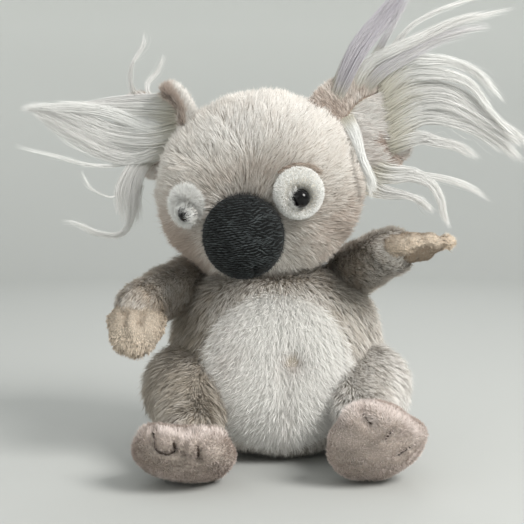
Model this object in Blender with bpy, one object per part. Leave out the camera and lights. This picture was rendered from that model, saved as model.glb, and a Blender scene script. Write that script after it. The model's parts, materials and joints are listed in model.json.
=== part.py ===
"""Seated plush koala: fabric covers over stuffing, and limbs that turn on ball-shaped sewn roots.

Metres, +Z up. The face looks along -Y and the toy's left side is at +X. The origin is the
middle of the flat seat.
"""

import copy
import math

import bmesh
import bpy
from mathutils import Euler, Matrix, Vector

# Cloth and clearances
CLOTH = 0.0012
GAP = 0.0003
SWING_GAP = 0.0020
SEAT_CUT = 0.0005
SLIVER = 0.00002

# Body: an upright egg, flatter below
BODY_WIDTH = 0.116
BODY_DEPTH = 0.098
BODY_HEIGHT = 0.104
BODY_TAPER_SHARE = 0.04
BODY_CROWN_SQUARENESS = 3.0
BODY_BASE_SQUARENESS = 2.6
BELLY_WIDTH = 0.076
BELLY_HEIGHT = 0.084
BELLY_PROUD = 0.0012
BELLY_CENTRE_HEIGHT = 0.0505
WINDOW_REACH_SHARE = 0.45
BEAN_BAG_HEIGHT = 0.022

# Neck: the ball of stuffing that the head turns on
NECK_RADIUS = 0.0275
NECK_SINK = 0.006
NECK_ASIDE = -0.004
NECK_FORWARD = -0.004

# Head: an egg lying a little wide, with its face set over the neck
HEAD_WIDTH = 0.114
HEAD_DEPTH = 0.096
HEAD_HEIGHT = 0.104
HEAD_LIFT = 0.047
HEAD_ASIDE = -0.005
HEAD_FORWARD = -0.004
HEAD_PLAN_SQUARENESS = 2.3
HEAD_TURN = math.radians(-12.0)
HEAD_ROLL = math.radians(-7.5)
HEAD_PITCH = math.radians(5.0)

# How far each part swings from rest, in degrees
HEAD_SWING = 25.0
NOD_SWING = 8.0
EAR_SWING = 15.0
ARM_RISE_SWING = 8.0
ARM_DROP_SWING = 10.0
LEG_RISE_SWING = 8.0
LEG_DROP_SWING = 6.0

# Nose: a velour egg stood upright on the face
NOSE_WIDTH = 0.042
NOSE_HEIGHT = 0.043
NOSE_DEPTH = 0.034
NOSE_DROP = 0.020
NOSE_STAND = 0.009

# Eyes: a glossy ball on a shank that passes a padded patch and a lock washer
EYE_DIAMETER = 0.0095
EYE_APART = 0.057
EYE_DROP = 0.005
EYE_STAND = 0.0012
PATCH_DIAMETER = 0.026
PATCH_THICKNESS = 0.009
SHANK_DIAMETER = 0.0026
SHANK_LENGTH = 0.0125
WASHER_DIAMETER = 0.009
WASHER_THICKNESS = 0.0014

# Ears: two discs of cloth back to back, turned at their inner edge
EAR_WIDTH = 0.048
EAR_HEIGHT = 0.054
EAR_THICKNESS = 0.009
EAR_SINK = 0.013
EAR_ROOT_RADIUS = 0.0042
EAR_ROOT_LENGTH = 0.020

# Ear hair: a pad of pile on the ear's front and long locks out of it
HAIR_PAD_WIDTH = 0.052
HAIR_PAD_HEIGHT = 0.062
HAIR_PAD_DEPTH = 0.028
HAIR_REACH = 0.080
LOCK_RADIUS = 0.0058
LOCK_TIP_RADIUS = 0.0007
LOCK_FLATNESS_SHARE = 0.5
LOCK_FULLNESS = 0.8

# Arms: a sleeve with a ball at both ends
ARM_ROOT_RADIUS = 0.0150
ARM_END_RADIUS = 0.0140
ARM_LENGTH = 0.0445
ARM_OUTSET = 0.004
LEFT_SHOULDER_HEIGHT = 0.098
RIGHT_SHOULDER_HEIGHT = 0.092
PAW_WIDTH = 0.031
PAW_LENGTH = 0.034
PAW_THICKNESS = 0.021
PAW_REACH = 0.017

# Legs: a haunch ball that tapers to an ankle ball
HAUNCH_RADIUS = 0.0260
ANKLE_RADIUS = 0.0130
HIP_HEIGHT = 0.036
HIP_FORWARD = -0.014
HIP_INSET = 0.0095
MOUTH_SHARE = 0.6
LEFT_FOOT_INSET = 0.0105
LEFT_FOOT_AHEAD = 0.029
RIGHT_FOOT_INSET = 0.0125
RIGHT_FOOT_AHEAD = 0.031
FOOT_LENGTH = 0.054
FOOT_WIDTH = 0.050
FOOT_THICKNESS = 0.026
ANKLE_LIFT = 0.0145
SOLE_DEPTH = 0.0050
TOE_THREAD_DIAMETER = 0.0009
TOE_THREAD_TOP_SHARE = 0.62
TOE_THREAD_FOOT_SHARE = -0.05
LEFT_TOE_SHARES = (-0.24, 0.29, 0.57)
RIGHT_TOE_SHARES = (-0.52, -0.16, 0.28)

# How finely the shapes are cut
BODY_FACETS = (16, 10)
NOSE_FACETS = (12, 8)
SMALL_FACETS = (12, 7)
EYE_FACETS = (8, 5)
LIMB_SIDES = 10
RUN_ROOT_SHARE = 0.93
LIMB_STEPS = 3
END_STEPS = 3
LIP_SHARE = 0.35
LOCK_SIDES = 5
LOCK_STEPS = 8
THREAD_SIDES = 4
THREAD_STEPS = 4
DISC_FACETS = 10
OVAL_FACETS = 20

COLOURS = {
    "plush": (0.52, 0.48, 0.42),
    "white_plush": (0.83, 0.82, 0.78),
    "stuffing": (0.90, 0.90, 0.88),
    "velour": (0.020, 0.024, 0.026),
    "eye": (0.005, 0.005, 0.006),
    "washer": (0.70, 0.70, 0.68),
    "terry": (0.55, 0.46, 0.37),
    "sole": (0.62, 0.54, 0.46),
    "pellets": (0.75, 0.73, 0.66),
    "thread": (0.28, 0.22, 0.17),
}
SLOPE_STEP_SHARE = 1e-3
SHARP_ANGLE = math.radians(50.0)
BALL_TIP = math.radians(45.0)
FLAT_ANGLE = math.radians(0.5)
ROUGHNESS = {"eye": 0.08, "washer": 0.45}
CLOTH_ROUGHNESS = 0.95

FRONT = Vector((0.0, -1.0, 0.0))
UP = Vector((0.0, 0.0, 1.0))
ACROSS = Vector((1.0, 0.0, 0.0))


def empty_scene():
    for old in list(bpy.data.objects):
        bpy.data.objects.remove(old, do_unlink=True)


def material(name):
    found = bpy.data.materials.get(name)
    if found:
        return found
    made = bpy.data.materials.new(name)
    made.use_nodes = True
    shader = made.node_tree.nodes["Principled BSDF"]
    shader.inputs["Base Color"].default_value = (*COLOURS[name], 1.0)
    shader.inputs["Roughness"].default_value = ROUGHNESS.get(name, CLOTH_ROUGHNESS)
    shader.inputs["Metallic"].default_value = 0.0
    return made


def frame(centre, across, up):
    """A placement whose X is across, whose Z is close to up, and whose Y completes the turn."""
    x = Vector(across).normalized()
    y = Vector(up).cross(x).normalized()
    z = x.cross(y)
    turn = Matrix((x, y, z)).transposed().to_4x4()
    return Matrix.Translation(centre) @ turn


def along(start, direction):
    """A placement at start whose Z is direction."""
    z = Vector(direction).normalized()
    side = ACROSS if abs(z.x) < abs(z.y) else FRONT
    x = side.cross(z).normalized()
    turn = Matrix((x, z.cross(x), z)).transposed().to_4x4()
    return Matrix.Translation(start) @ turn


def about(pivot, axis, degrees):
    """The turn by degrees about an axis through pivot."""
    turn = Matrix.Rotation(math.radians(degrees), 4, axis)
    return Matrix.Translation(pivot) @ turn @ Matrix.Translation(-pivot)


class Form:
    """A stuffed shape: oval in plan, with a crown and a base of their own fullness."""

    def __init__(
        self, place, width, depth, height, facets, plan=2.0, crown=2.0, base=2.0, taper=0.0, seated=False
    ):
        self.place = place
        self.facets = facets
        self.half = Vector((width / 2, depth / 2, height / 2))
        self.plan = plan
        self.crown = crown
        self.base = base
        self.taper = taper
        self.seated = seated

    def spread(self, height_share):
        """How wide the form is at a height from -1 to 1, as a share of its widest."""
        power = self.crown if height_share > 0 else self.base
        left = max(1.0 - abs(height_share) ** power, 0.0)
        return left ** (1.0 / power) * (1.0 - self.taper * height_share)

    def front(self, aside, height):
        """The point of the front, in the form's own axes, at this place across and height."""
        wide = self.spread(height / self.half.z)
        left = max(1.0 - abs(aside / (self.half.x * wide)) ** self.plan, 0.0)
        return Vector((aside, -self.half.y * wide * left ** (1.0 / self.plan), height))

    def side(self, hand, forward, height):
        """The point of the left or right flank, in the form's own axes."""
        wide = self.spread(height / self.half.z)
        left = max(1.0 - abs(forward / (self.half.y * wide)) ** self.plan, 0.0)
        return Vector((hand * self.half.x * wide * left ** (1.0 / self.plan), forward, height))

    def facing(self, aside, height):
        """The outward direction of the front there, in the form's own axes."""
        step = self.half.x * SLOPE_STEP_SHARE
        across = self.front(aside + step, height) - self.front(aside - step, height)
        upward = self.front(aside, height + step) - self.front(aside, height - step)
        return across.cross(upward).normalized()

    def turned(self, pivot, axis, degrees):
        """The same form once it has turned about an axis through pivot."""
        found = copy.copy(self)
        found.place = about(pivot, axis, degrees) @ self.place
        return found

    def solid(self, name, grow=0.0):
        """The form as a closed mesh object, with its skin moved out by grow."""
        half = self.half + Vector((grow, grow, grow))
        bm = bmesh.new()
        bmesh.ops.create_uvsphere(bm, u_segments=self.facets[0], v_segments=self.facets[1], radius=1.0)
        if self.seated:
            pole = min(bm.verts, key=lambda vert: vert.co.z)
            bmesh.ops.subdivide_edges(bm, edges=pole.link_edges[:], cuts=1)
        for vert in bm.verts:
            x, y, z = vert.co.normalized()
            level = math.hypot(x, y)
            power = self.crown if z > 0 else self.base
            height = math.copysign(abs(z) ** (2.0 / power), z)
            wide = level ** (2.0 / power) * (1.0 - self.taper * height)
            if level > 0:
                x, y = x / level, y / level
            ring = max(abs(x) ** self.plan + abs(y) ** self.plan, 1e-9) ** (-1.0 / self.plan)
            vert.co = (half.x * wide * ring * x, half.y * wide * ring * y, half.z * height)
        return finish_mesh(name, bm, self.place)


def finish_mesh(name, bm, place=Matrix.Identity(4)):
    """Turns bm into an object of flat triangles with its faces out, at its place in the world."""
    bmesh.ops.triangulate(bm, faces=bm.faces[:])
    bmesh.ops.recalc_face_normals(bm, faces=bm.faces[:])
    mesh = bpy.data.meshes.new(name)
    bm.to_mesh(mesh)
    bm.free()
    mesh.transform(place)
    made = bpy.data.objects.new(name, mesh)
    bpy.context.scene.collection.objects.link(made)
    return made


def skinned(name, rings, first_tip, last_tip):
    """A closed tube through rings of points, drawn to a point at both ends."""
    bm = bmesh.new()
    rows = [[bm.verts.new(point) for point in ring] for ring in rings]
    count = len(rows[0])
    tips = bm.verts.new(first_tip), bm.verts.new(last_tip)
    for row, after in zip(rows, rows[1:]):
        for i in range(count):
            bm.faces.new((row[i], row[(i + 1) % count], after[(i + 1) % count], after[i]))
    for i in range(count):
        bm.faces.new((tips[0], rows[0][(i + 1) % count], rows[0][i]))
        bm.faces.new((tips[1], rows[-1][i], rows[-1][(i + 1) % count]))
    return finish_mesh(name, bm)


class Limb:
    """A tapering limb on a straight run, with a ball at its root and another at its end."""

    def __init__(self, root, end, root_radius, end_radius, carriers, others=()):
        self.root = Vector(root)
        self.end = Vector(end)
        self.root_radius = root_radius
        self.end_radius = end_radius
        self.carriers = carriers
        self.others = others
        self.place = along(root, self.end - self.root)

    def run(self, name, grow=0.0):
        """The tapering run with its round end, as a closed mesh object; its root is a cone."""
        root = (self.root_radius + grow) * RUN_ROOT_SHARE
        end = self.end_radius + grow
        length = (self.end - self.root).length
        stations = []
        for i in range(LIMB_STEPS + 1):
            share = i / LIMB_STEPS
            ease = (1.0 - math.cos(math.pi * share)) / 2.0
            stations.append((length * share, root + (end - root) * ease))
        for i in range(1, END_STEPS):
            turn = math.pi / 2 * i / END_STEPS
            stations.append((length + end * math.sin(turn), end * math.cos(turn)))
        rings = []
        for reach, radius in stations:
            ring = []
            for i in range(LIMB_SIDES):
                turn = 2 * math.pi * i / LIMB_SIDES
                ring.append(self.place @ Vector((radius * math.cos(turn), radius * math.sin(turn), reach)))
            rings.append(ring)
        tips = self.place @ Vector((0, 0, -root / 2)), self.place @ Vector((0, 0, length + end))
        return skinned(name, rings, *tips)

    def solid(self, name, grow=0.0):
        """The whole limb: the ball in its socket, and the run outside what carries the socket."""
        made = self.run(name, grow)
        for form in self.carriers:
            combine(made, form.solid("cutter", SWING_GAP - grow))
        combine(made, ball("ball", self.root, self.root_radius + grow), "UNION")
        for form in self.others:
            combine(made, form.solid("cutter", SWING_GAP - grow))
        return made

    def cover(self, name, inward):
        """The limb's cloth, with its mouth at the root towards inward."""
        made = self.solid(name)
        combine(made, self.solid("cutter", -CLOTH))
        mouth = rod("cutter", self.root, inward, self.root_radius * MOUTH_SHARE, 2 * self.root_radius)
        return combine(made, mouth)


def smooth_path(points, steps):
    """Points along a smooth curve through the given ones, evenly spaced in each span's share."""
    first = 2 * points[0] - points[1]
    last = 2 * points[-1] - points[-2]
    held = [first, *points, last]
    found = []
    for i in range(steps + 1):
        reach = (len(points) - 1) * i / steps
        span = min(int(reach), len(points) - 2)
        t = reach - span
        a, b, c, d = held[span : span + 4]
        bend = 2 * b + (c - a) * t + (2 * a - 5 * b + 4 * c - d) * t**2 + (3 * b - a - 3 * c + d) * t**3
        found.append(bend / 2)
    return found


def tube(name, points, radii, sides, flatness=1.0):
    """A closed tube along points, thinner across its bend by flatness; its sides don't twist."""
    wide = (points[1] - points[0]).cross(FRONT)
    rings = []
    for i, point in enumerate(points):
        way = (points[min(i + 1, len(points) - 1)] - points[max(i - 1, 0)]).normalized()
        wide = (wide - way * wide.dot(way)).normalized()
        deep = wide.cross(way) * flatness
        ring = []
        for j in range(sides):
            turn = 2 * math.pi * j / sides
            ring.append(point + (wide * math.cos(turn) + deep * math.sin(turn)) * radii[i])
        rings.append(ring)
    first_tip = points[0] + (points[0] - points[1]).normalized() * radii[0]
    last_tip = points[-1] + (points[-1] - points[-2]).normalized() * radii[-1]
    return skinned(name, rings, first_tip, last_tip)


def ball(name, centre, radius, facets=SMALL_FACETS, tip=BALL_TIP):
    """A faceted ball, tipped so that its corners face the flats of an upright socket."""
    bm = bmesh.new()
    bmesh.ops.create_uvsphere(bm, u_segments=facets[0], v_segments=facets[1], radius=radius)
    return finish_mesh(name, bm, Matrix.Translation(centre) @ Matrix.Rotation(tip, 4, "X"))


def socket(centre, radius, facets=SMALL_FACETS):
    """A cutter round a ball of this radius: the flats of the socket clear the ball by the gap."""
    flat_share = math.cos(math.pi / facets[0]) * math.cos(math.pi / (2 * facets[1]))
    return ball("cutter", centre, (radius + GAP) / flat_share, facets, 0.0)


def rod(name, start, direction, radius, length, sides=DISC_FACETS):
    """A round bar that starts at start and runs along direction."""
    bm = bmesh.new()
    bmesh.ops.create_cone(
        bm, cap_ends=True, segments=sides, radius1=radius, radius2=radius, depth=length
    )
    bmesh.ops.translate(bm, verts=bm.verts, vec=UP * length / 2)
    return finish_mesh(name, bm, along(start, direction))


def slab(name, place, size):
    """A box with its middle at place."""
    bm = bmesh.new()
    bmesh.ops.create_cube(bm, size=1.0)
    bmesh.ops.scale(bm, verts=bm.verts, vec=size)
    return finish_mesh(name, bm, place)


def oval_bar(name, place, width, height, length):
    """A bar of oval section along the place's Y."""
    bm = bmesh.new()
    bmesh.ops.create_cone(bm, cap_ends=True, segments=OVAL_FACETS, radius1=1.0, radius2=1.0, depth=1.0)
    turn = Matrix.Rotation(math.pi / 2, 4, "X")
    shape = Matrix.Diagonal((width / 2, length, height / 2, 1.0))
    bmesh.ops.transform(bm, matrix=shape @ turn, verts=bm.verts)
    return finish_mesh(name, bm, place)


def combine(piece, tool, operation="DIFFERENCE"):
    """Cuts the piece by the tool, or joins or intersects them, and takes the tool away."""
    change = piece.modifiers.new(operation.lower(), "BOOLEAN")
    change.operation = operation
    change.solver = "EXACT"
    change.object = tool
    ready = bpy.context.evaluated_depsgraph_get()
    mesh = bpy.data.meshes.new_from_object(piece.evaluated_get(ready))
    piece.modifiers.clear()
    piece.data = mesh
    bpy.data.objects.remove(tool, do_unlink=True)
    return piece


def above(place, lift, reach):
    """A block whose lower face lies at lift up the place's Z."""
    middle = place @ Matrix.Translation(UP * (lift + reach / 2))
    return slab("cutter", middle, (reach, reach, reach))


def below(place, lift, reach):
    """A block whose upper face lies at lift up the place's Z."""
    middle = place @ Matrix.Translation(UP * (lift - reach / 2))
    return slab("cutter", middle, (reach, reach, reach))


def flatten(mesh):
    """Closes up slivers, and takes out edges and points that cuts have left in flat faces."""
    bm = bmesh.new()
    bm.from_mesh(mesh)
    bmesh.ops.remove_doubles(bm, verts=bm.verts, dist=SLIVER)
    bmesh.ops.dissolve_degenerate(bm, edges=bm.edges, dist=SLIVER)
    bmesh.ops.dissolve_limit(bm, angle_limit=FLAT_ANGLE, verts=bm.verts, edges=bm.edges)
    bmesh.ops.delete(bm, geom=[edge for edge in bm.edges if edge.is_wire], context="EDGES")
    bmesh.ops.triangulate(bm, faces=bm.faces[:])
    bm.to_mesh(mesh)
    bm.free()


def place_piece(piece, name, slot, pivot):
    """Names the piece, gives it its material and puts its origin on its joint."""
    flatten(piece.data)
    piece.name = name
    piece.data.name = name
    piece.data.materials.clear()
    piece.data.materials.append(material(slot))
    piece.data.transform(Matrix.Translation(-Vector(pivot)))
    piece.location = pivot
    piece.data.shade_smooth()
    piece.data.set_sharp_from_angle(angle=SHARP_ANGLE)
    return piece


# Places that the pieces share
BODY_PLACE = Matrix.Translation(UP * (BODY_HEIGHT / 2 - SEAT_CUT))
BODY = Form(
    BODY_PLACE,
    BODY_WIDTH,
    BODY_DEPTH,
    BODY_HEIGHT,
    BODY_FACETS,
    crown=BODY_CROWN_SQUARENESS,
    base=BODY_BASE_SQUARENESS,
    taper=BODY_TAPER_SHARE,
    seated=True,
)
BODY_TOP = BODY_HEIGHT - SEAT_CUT
NECK = Vector((NECK_ASIDE, NECK_FORWARD, BODY_TOP - NECK_SINK))
HEAD_CENTRE = NECK + Vector((HEAD_ASIDE, HEAD_FORWARD, HEAD_LIFT))
HEAD_LEAN = Euler((HEAD_PITCH, HEAD_ROLL, 0.0), "YXZ").to_matrix().to_4x4()
HEAD_TILT = Matrix.Rotation(HEAD_TURN, 4, "Z") @ HEAD_LEAN
HEAD_PLACE = Matrix.Translation(HEAD_CENTRE) @ HEAD_TILT
HEAD = Form(HEAD_PLACE, HEAD_WIDTH, HEAD_DEPTH, HEAD_HEIGHT, BODY_FACETS, plan=HEAD_PLAN_SQUARENESS)
GROUND = Matrix.Identity(4)
GROUND_REACH = BODY_WIDTH + 4 * FOOT_LENGTH


class Arm:
    """Where one arm lies: hand is 1 on the toy's left and -1 on its right."""

    def __init__(self, hand, height, out_turn, rise, paw_way, paw_across):
        flank = BODY.place @ BODY.side(hand, 0.0, height - BODY_PLACE.translation.z)
        self.shoulder = flank + ACROSS * hand * ARM_OUTSET
        self.inward = -ACROSS * hand
        out = math.radians(out_turn)
        level = math.radians(rise)
        way = Vector((hand * math.sin(out), -math.cos(out), 0.0)) * math.cos(level) + UP * math.sin(level)
        self.wrist = self.shoulder + way * ARM_LENGTH
        self.lift_axis = way.cross(UP).normalized()
        nodded = HEAD.turned(NECK, ACROSS, NOD_SWING).turned(NECK, UP, hand * HEAD_SWING)
        cheeks = [HEAD.turned(NECK, UP, -hand * HEAD_SWING), HEAD.turned(NECK, ACROSS, -NOD_SWING)]
        for swing in (-ARM_RISE_SWING, 0.0, ARM_DROP_SWING):
            cheeks.append(HEAD.turned(self.shoulder, self.lift_axis, swing))
            cheeks.append(nodded.turned(self.shoulder, self.lift_axis, swing))
        flanks = [BODY, BODY.turned(self.shoulder, self.lift_axis, ARM_DROP_SWING)]
        self.limb = Limb(self.shoulder, self.wrist, ARM_ROOT_RADIUS, ARM_END_RADIUS, flanks, cheeks)
        paw = Vector(paw_way).normalized()
        paw_place = frame(self.wrist + paw * PAW_REACH, paw_across, paw)
        self.paw = Form(paw_place, PAW_WIDTH, PAW_THICKNESS, PAW_LENGTH, SMALL_FACETS)


class Leg:
    """Where one leg lies: the foot stands on the ground before the body, tipped back by its pitch."""

    def __init__(self, hand, foot_inset, foot_ahead, pitch, splay, heel_share, toe_shares):
        tip = math.radians(pitch)
        flank = BODY.place @ BODY.side(hand, HIP_FORWARD, HIP_HEIGHT - BODY_PLACE.translation.z)
        self.hip = flank - ACROSS * hand * HIP_INSET
        self.inward = -ACROSS * hand
        half_length, half_thickness = FOOT_LENGTH / 2, FOOT_THICKNESS / 2
        rise = math.hypot(half_length * math.sin(tip), half_thickness * math.cos(tip))
        aside, ahead = BODY_WIDTH / 2 - foot_inset, BODY_DEPTH / 2 + foot_ahead
        centre = Vector((hand * aside, -ahead, rise - SEAT_CUT))
        turn = Matrix.Rotation(hand * math.radians(splay), 4, "Z") @ Matrix.Rotation(-tip, 4, "X")
        foot_place = Matrix.Translation(centre) @ turn
        self.foot = Form(foot_place, FOOT_WIDTH, FOOT_LENGTH, FOOT_THICKNESS, SMALL_FACETS)
        self.ankle = foot_place @ Vector((0.0, half_length * heel_share, ANKLE_LIFT))
        flanks = [BODY, BODY.turned(self.hip, ACROSS, LEG_RISE_SWING)]
        self.limb = Limb(self.hip, self.ankle, HAUNCH_RADIUS, ANKLE_RADIUS, flanks)
        self.toe_shares = toe_shares


class Ear:
    """Where one ear lies: its root is a roll of cloth along the head, and it swings on the roll."""

    def __init__(self, hand, rise, face, locks):
        turn = math.radians(rise)
        wide, tall = HEAD.half.x, HEAD.half.z
        reach = 1.0 / math.hypot(math.cos(turn) / wide, math.sin(turn) / tall)
        root = Vector((hand * reach * math.cos(turn), 0.0, reach * math.sin(turn)))
        out = Vector((root.x / wide**2, 0.0, root.z / tall**2)).normalized()
        self.hinge = HEAD.place @ (root + out * (EAR_ROOT_RADIUS + GAP))
        y = -Vector(face).normalized()
        self.axis = (HEAD.place.to_3x3() @ out).cross(y).normalized()
        self.outward = y.cross(self.axis)
        self.centre = self.hinge + self.outward * (EAR_WIDTH / 2 - EAR_SINK)
        turn = Matrix((self.outward, y, self.axis)).transposed().to_4x4()
        self.place = Matrix.Translation(self.centre) @ turn
        self.disc = Form(self.place, EAR_WIDTH, EAR_THICKNESS, EAR_HEIGHT, SMALL_FACETS)
        self.locks = locks


LEFT_LOCK_SHARES = (
    ((0.02, -0.12, 0.10), (0.16, -0.14, 0.58), (0.28, -0.14, 1.08)),
    ((0.10, -0.12, 0.05), (0.50, -0.14, 0.40), (0.94, -0.14, 0.62)),
    ((0.12, -0.12, 0.0), (0.45, -0.14, 0.20), (0.78, -0.14, 0.22), (1.0, -0.14, 0.06), (1.07, -0.14, -0.14)),
    ((-0.02, -0.12, 0.02), (-0.04, -0.30, -0.06), (0.0, -0.40, -0.26), (0.08, -0.42, -0.54)),
    ((0.10, -0.12, -0.10), (0.25, -0.14, -0.22), (0.46, -0.16, -0.28), (0.60, -0.16, -0.50)),
)
RIGHT_LOCK_SHARES = (
    ((-0.09, -0.08, 0.02), (-0.38, -0.10, 0.10), (-0.72, -0.10, 0.16), (-1.02, -0.10, 0.20)),
    ((-0.09, -0.08, -0.08), (-0.42, -0.12, -0.10), (-0.84, -0.14, -0.18)),
    (
        (-0.09, -0.10, -0.12),
        (-0.15, -0.14, -0.34),
        (-0.28, -0.18, -0.62),
        (-0.41, -0.18, -0.72),
        (-0.55, -0.16, -0.62),
    ),
    ((-0.09, -0.08, 0.05), (-0.12, -0.12, 0.28), (-0.16, -0.12, 0.58)),
)
EARS = {
    "left": Ear(1, rise=20.5, face=(0.25, -0.96, 0.05), locks=LEFT_LOCK_SHARES),
    "right": Ear(-1, rise=30.0, face=(-0.75, -0.62, -0.25), locks=RIGHT_LOCK_SHARES),
}
ARMS = {
    "left": Arm(
        1,
        LEFT_SHOULDER_HEIGHT,
        out_turn=24.0,
        rise=18.0,
        paw_way=(0.93, -0.26, 0.16),
        paw_across=(0.25, 0.90, -0.20),
    ),
    "right": Arm(
        -1,
        RIGHT_SHOULDER_HEIGHT,
        out_turn=28.0,
        rise=-10.0,
        paw_way=(-0.22, -0.42, -0.88),
        paw_across=(0.97, -0.20, -0.10),
    ),
}
LEGS = {
    "left": Leg(
        1,
        LEFT_FOOT_INSET,
        LEFT_FOOT_AHEAD,
        pitch=52.0,
        splay=14.0,
        heel_share=0.24,
        toe_shares=LEFT_TOE_SHARES,
    ),
    "right": Leg(
        -1,
        RIGHT_FOOT_INSET,
        RIGHT_FOOT_AHEAD,
        pitch=26.0,
        splay=8.0,
        heel_share=0.40,
        toe_shares=RIGHT_TOE_SHARES,
    ),
}


def cut_sockets(piece):
    """Opens the piece where the neck ball and the roots of the four limbs enter it."""
    combine(piece, socket(NECK, NECK_RADIUS))
    for arm in ARMS.values():
        combine(piece, socket(arm.shoulder, ARM_ROOT_RADIUS))
    for leg in LEGS.values():
        combine(piece, socket(leg.hip, HAUNCH_RADIUS))
    return piece


def body_pieces():
    """The body's cover with its belly panel let in, the stuffing, and the bean bag under it."""
    cover = BODY.solid("body_cover")
    combine(cover, BODY.solid("cutter", -CLOTH))
    combine(cover, below(GROUND, 0.0, GROUND_REACH))
    window = Matrix.Translation(Vector((0.0, -BODY_DEPTH / 2, BELLY_CENTRE_HEIGHT)))
    reach = BODY_DEPTH * WINDOW_REACH_SHARE
    combine(cover, oval_bar("cutter", window, BELLY_WIDTH, BELLY_HEIGHT, reach))
    belly = BODY.solid("belly_panel", BELLY_PROUD)
    combine(belly, BODY.solid("cutter", -CLOTH))
    rim = 2 * GAP
    combine(belly, oval_bar("cutter", window, BELLY_WIDTH - rim, BELLY_HEIGHT - rim, reach), "INTERSECT")
    stuffing = BODY.solid("body_stuffing", -CLOTH - GAP)
    combine(stuffing, below(GROUND, BEAN_BAG_HEIGHT + GAP, GROUND_REACH))
    bag = BODY.solid("bean_bag", -CLOTH - GAP)
    combine(bag, above(GROUND, BEAN_BAG_HEIGHT, GROUND_REACH))
    combine(bag, below(GROUND, CLOTH + GAP, GROUND_REACH))
    for piece in (belly, cover, stuffing, bag):
        cut_sockets(piece)
    place_piece(cover, "body_cover", "plush", (0, 0, 0))
    place_piece(belly, "belly_panel", "white_plush", (0, 0, 0))
    place_piece(stuffing, "body_stuffing", "stuffing", (0, 0, 0))
    place_piece(bag, "bean_bag", "pellets", (0, 0, 0))


def eye_frame(hand):
    """A placement on the face at one eye, with Z out of the face."""
    aside, height = hand * EYE_APART / 2, -EYE_DROP
    point = HEAD.place @ HEAD.front(aside, height)
    out = HEAD.place.to_3x3() @ HEAD.facing(aside, height)
    return along(point, out)


def eye_pieces(side, hand):
    """One eye: its patch on the face, the eye with its shank, and the washer that locks it."""
    place = eye_frame(hand)
    out = place.to_3x3() @ UP
    patch = Form(place, PATCH_DIAMETER, PATCH_DIAMETER, PATCH_THICKNESS, EYE_FACETS).solid("eye_patch")
    combine(patch, HEAD.solid("cutter", GAP))
    combine(patch, shank_hole(place))
    seat = place.translation + out * (PATCH_THICKNESS / 2 + EYE_STAND)
    combine(patch, socket(seat, EYE_DIAMETER / 2, EYE_FACETS))
    eye = ball("eye", seat, EYE_DIAMETER / 2, EYE_FACETS)
    tail = SHANK_LENGTH - CLOTH
    combine(eye, rod("shank", seat - out * tail, out, SHANK_DIAMETER / 2, tail), "UNION")
    top = place.translation - out * (CLOTH + 2 * GAP + facet_sag(HEAD))
    washer = rod("eye_washer", top, -out, WASHER_DIAMETER / 2, WASHER_THICKNESS)
    combine(washer, shank_hole(place))
    place_piece(patch, "eye_patch_" + side, "white_plush", NECK)
    place_piece(eye, "eye_" + side, "eye", NECK)
    place_piece(washer, "eye_washer_" + side, "washer", NECK)


def facet_sag(form):
    """How far the flats of a form's mesh can lie inside its smooth shape."""
    flat_share = math.cos(math.pi / form.facets[0]) * math.cos(math.pi / (2 * form.facets[1]))
    return form.half.x * (1.0 - flat_share)


def shank_hole(place, radius=SHANK_DIAMETER / 2):
    """A cutter along an eye's shank with room round it."""
    out = place.to_3x3() @ UP
    return rod("cutter", place.translation - out * SHANK_LENGTH, out, radius + GAP, 2 * SHANK_LENGTH)


def nose_pieces():
    """The nose: a velour cover over its stuffing, both cut by the face."""
    bridge = HEAD.front(0.0, -NOSE_DROP)
    seat = HEAD.place @ Matrix.Translation(bridge + FRONT * NOSE_STAND)
    egg = Form(seat, NOSE_WIDTH, NOSE_DEPTH, NOSE_HEIGHT, NOSE_FACETS)
    cover = egg.solid("nose_cover")
    combine(cover, egg.solid("cutter", -CLOTH))
    filling = egg.solid("nose_stuffing", -CLOTH - GAP)
    for piece in (cover, filling):
        combine(piece, HEAD.solid("cutter", GAP))
    place_piece(cover, "nose_cover", "velour", NECK)
    place_piece(filling, "nose_stuffing", "stuffing", NECK)


def head_pieces():
    """The head's cover open at the neck, its stuffing and the neck ball."""
    cover = HEAD.solid("head_cover")
    combine(cover, HEAD.solid("cutter", -CLOTH))
    stuffing = HEAD.solid("head_stuffing", -CLOTH - GAP)
    for piece in (cover, stuffing):
        combine(piece, socket(NECK, NECK_RADIUS))
        for nod in (-NOD_SWING, NOD_SWING):
            combine(piece, BODY.turned(NECK, ACROSS, nod).solid("cutter", SWING_GAP))
    for side, hand in (("left", 1), ("right", -1)):
        combine(cover, shank_hole(eye_frame(hand)))
        combine(stuffing, shank_hole(eye_frame(hand), WASHER_DIAMETER / 2))
        eye_pieces(side, hand)
    place_piece(cover, "head_cover", "plush", NECK)
    place_piece(stuffing, "head_stuffing", "stuffing", NECK)
    place_piece(ball("neck_ball", NECK, NECK_RADIUS), "neck_ball", "plush", NECK)


def arm_pieces(side, arm):
    """A sleeve over its stuffing, and a terry paw over its own that turns on the sleeve's end."""
    place_piece(arm.limb.cover("arm_sleeve", arm.inward), "arm_sleeve_" + side, "plush", arm.shoulder)
    stuffing = arm.limb.solid("arm_stuffing", -CLOTH - GAP)
    place_piece(stuffing, "arm_stuffing_" + side, "stuffing", arm.shoulder)
    paw = arm.paw.solid("paw_cover")
    combine(paw, arm.paw.solid("cutter", -CLOTH))
    filling = arm.paw.solid("paw_stuffing", -CLOTH - GAP)
    for piece in (paw, filling):
        clear_of_limb(piece, arm.limb)
    place_piece(paw, "paw_cover_" + side, "terry", arm.wrist)
    place_piece(filling, "paw_stuffing_" + side, "stuffing", arm.wrist)


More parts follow.
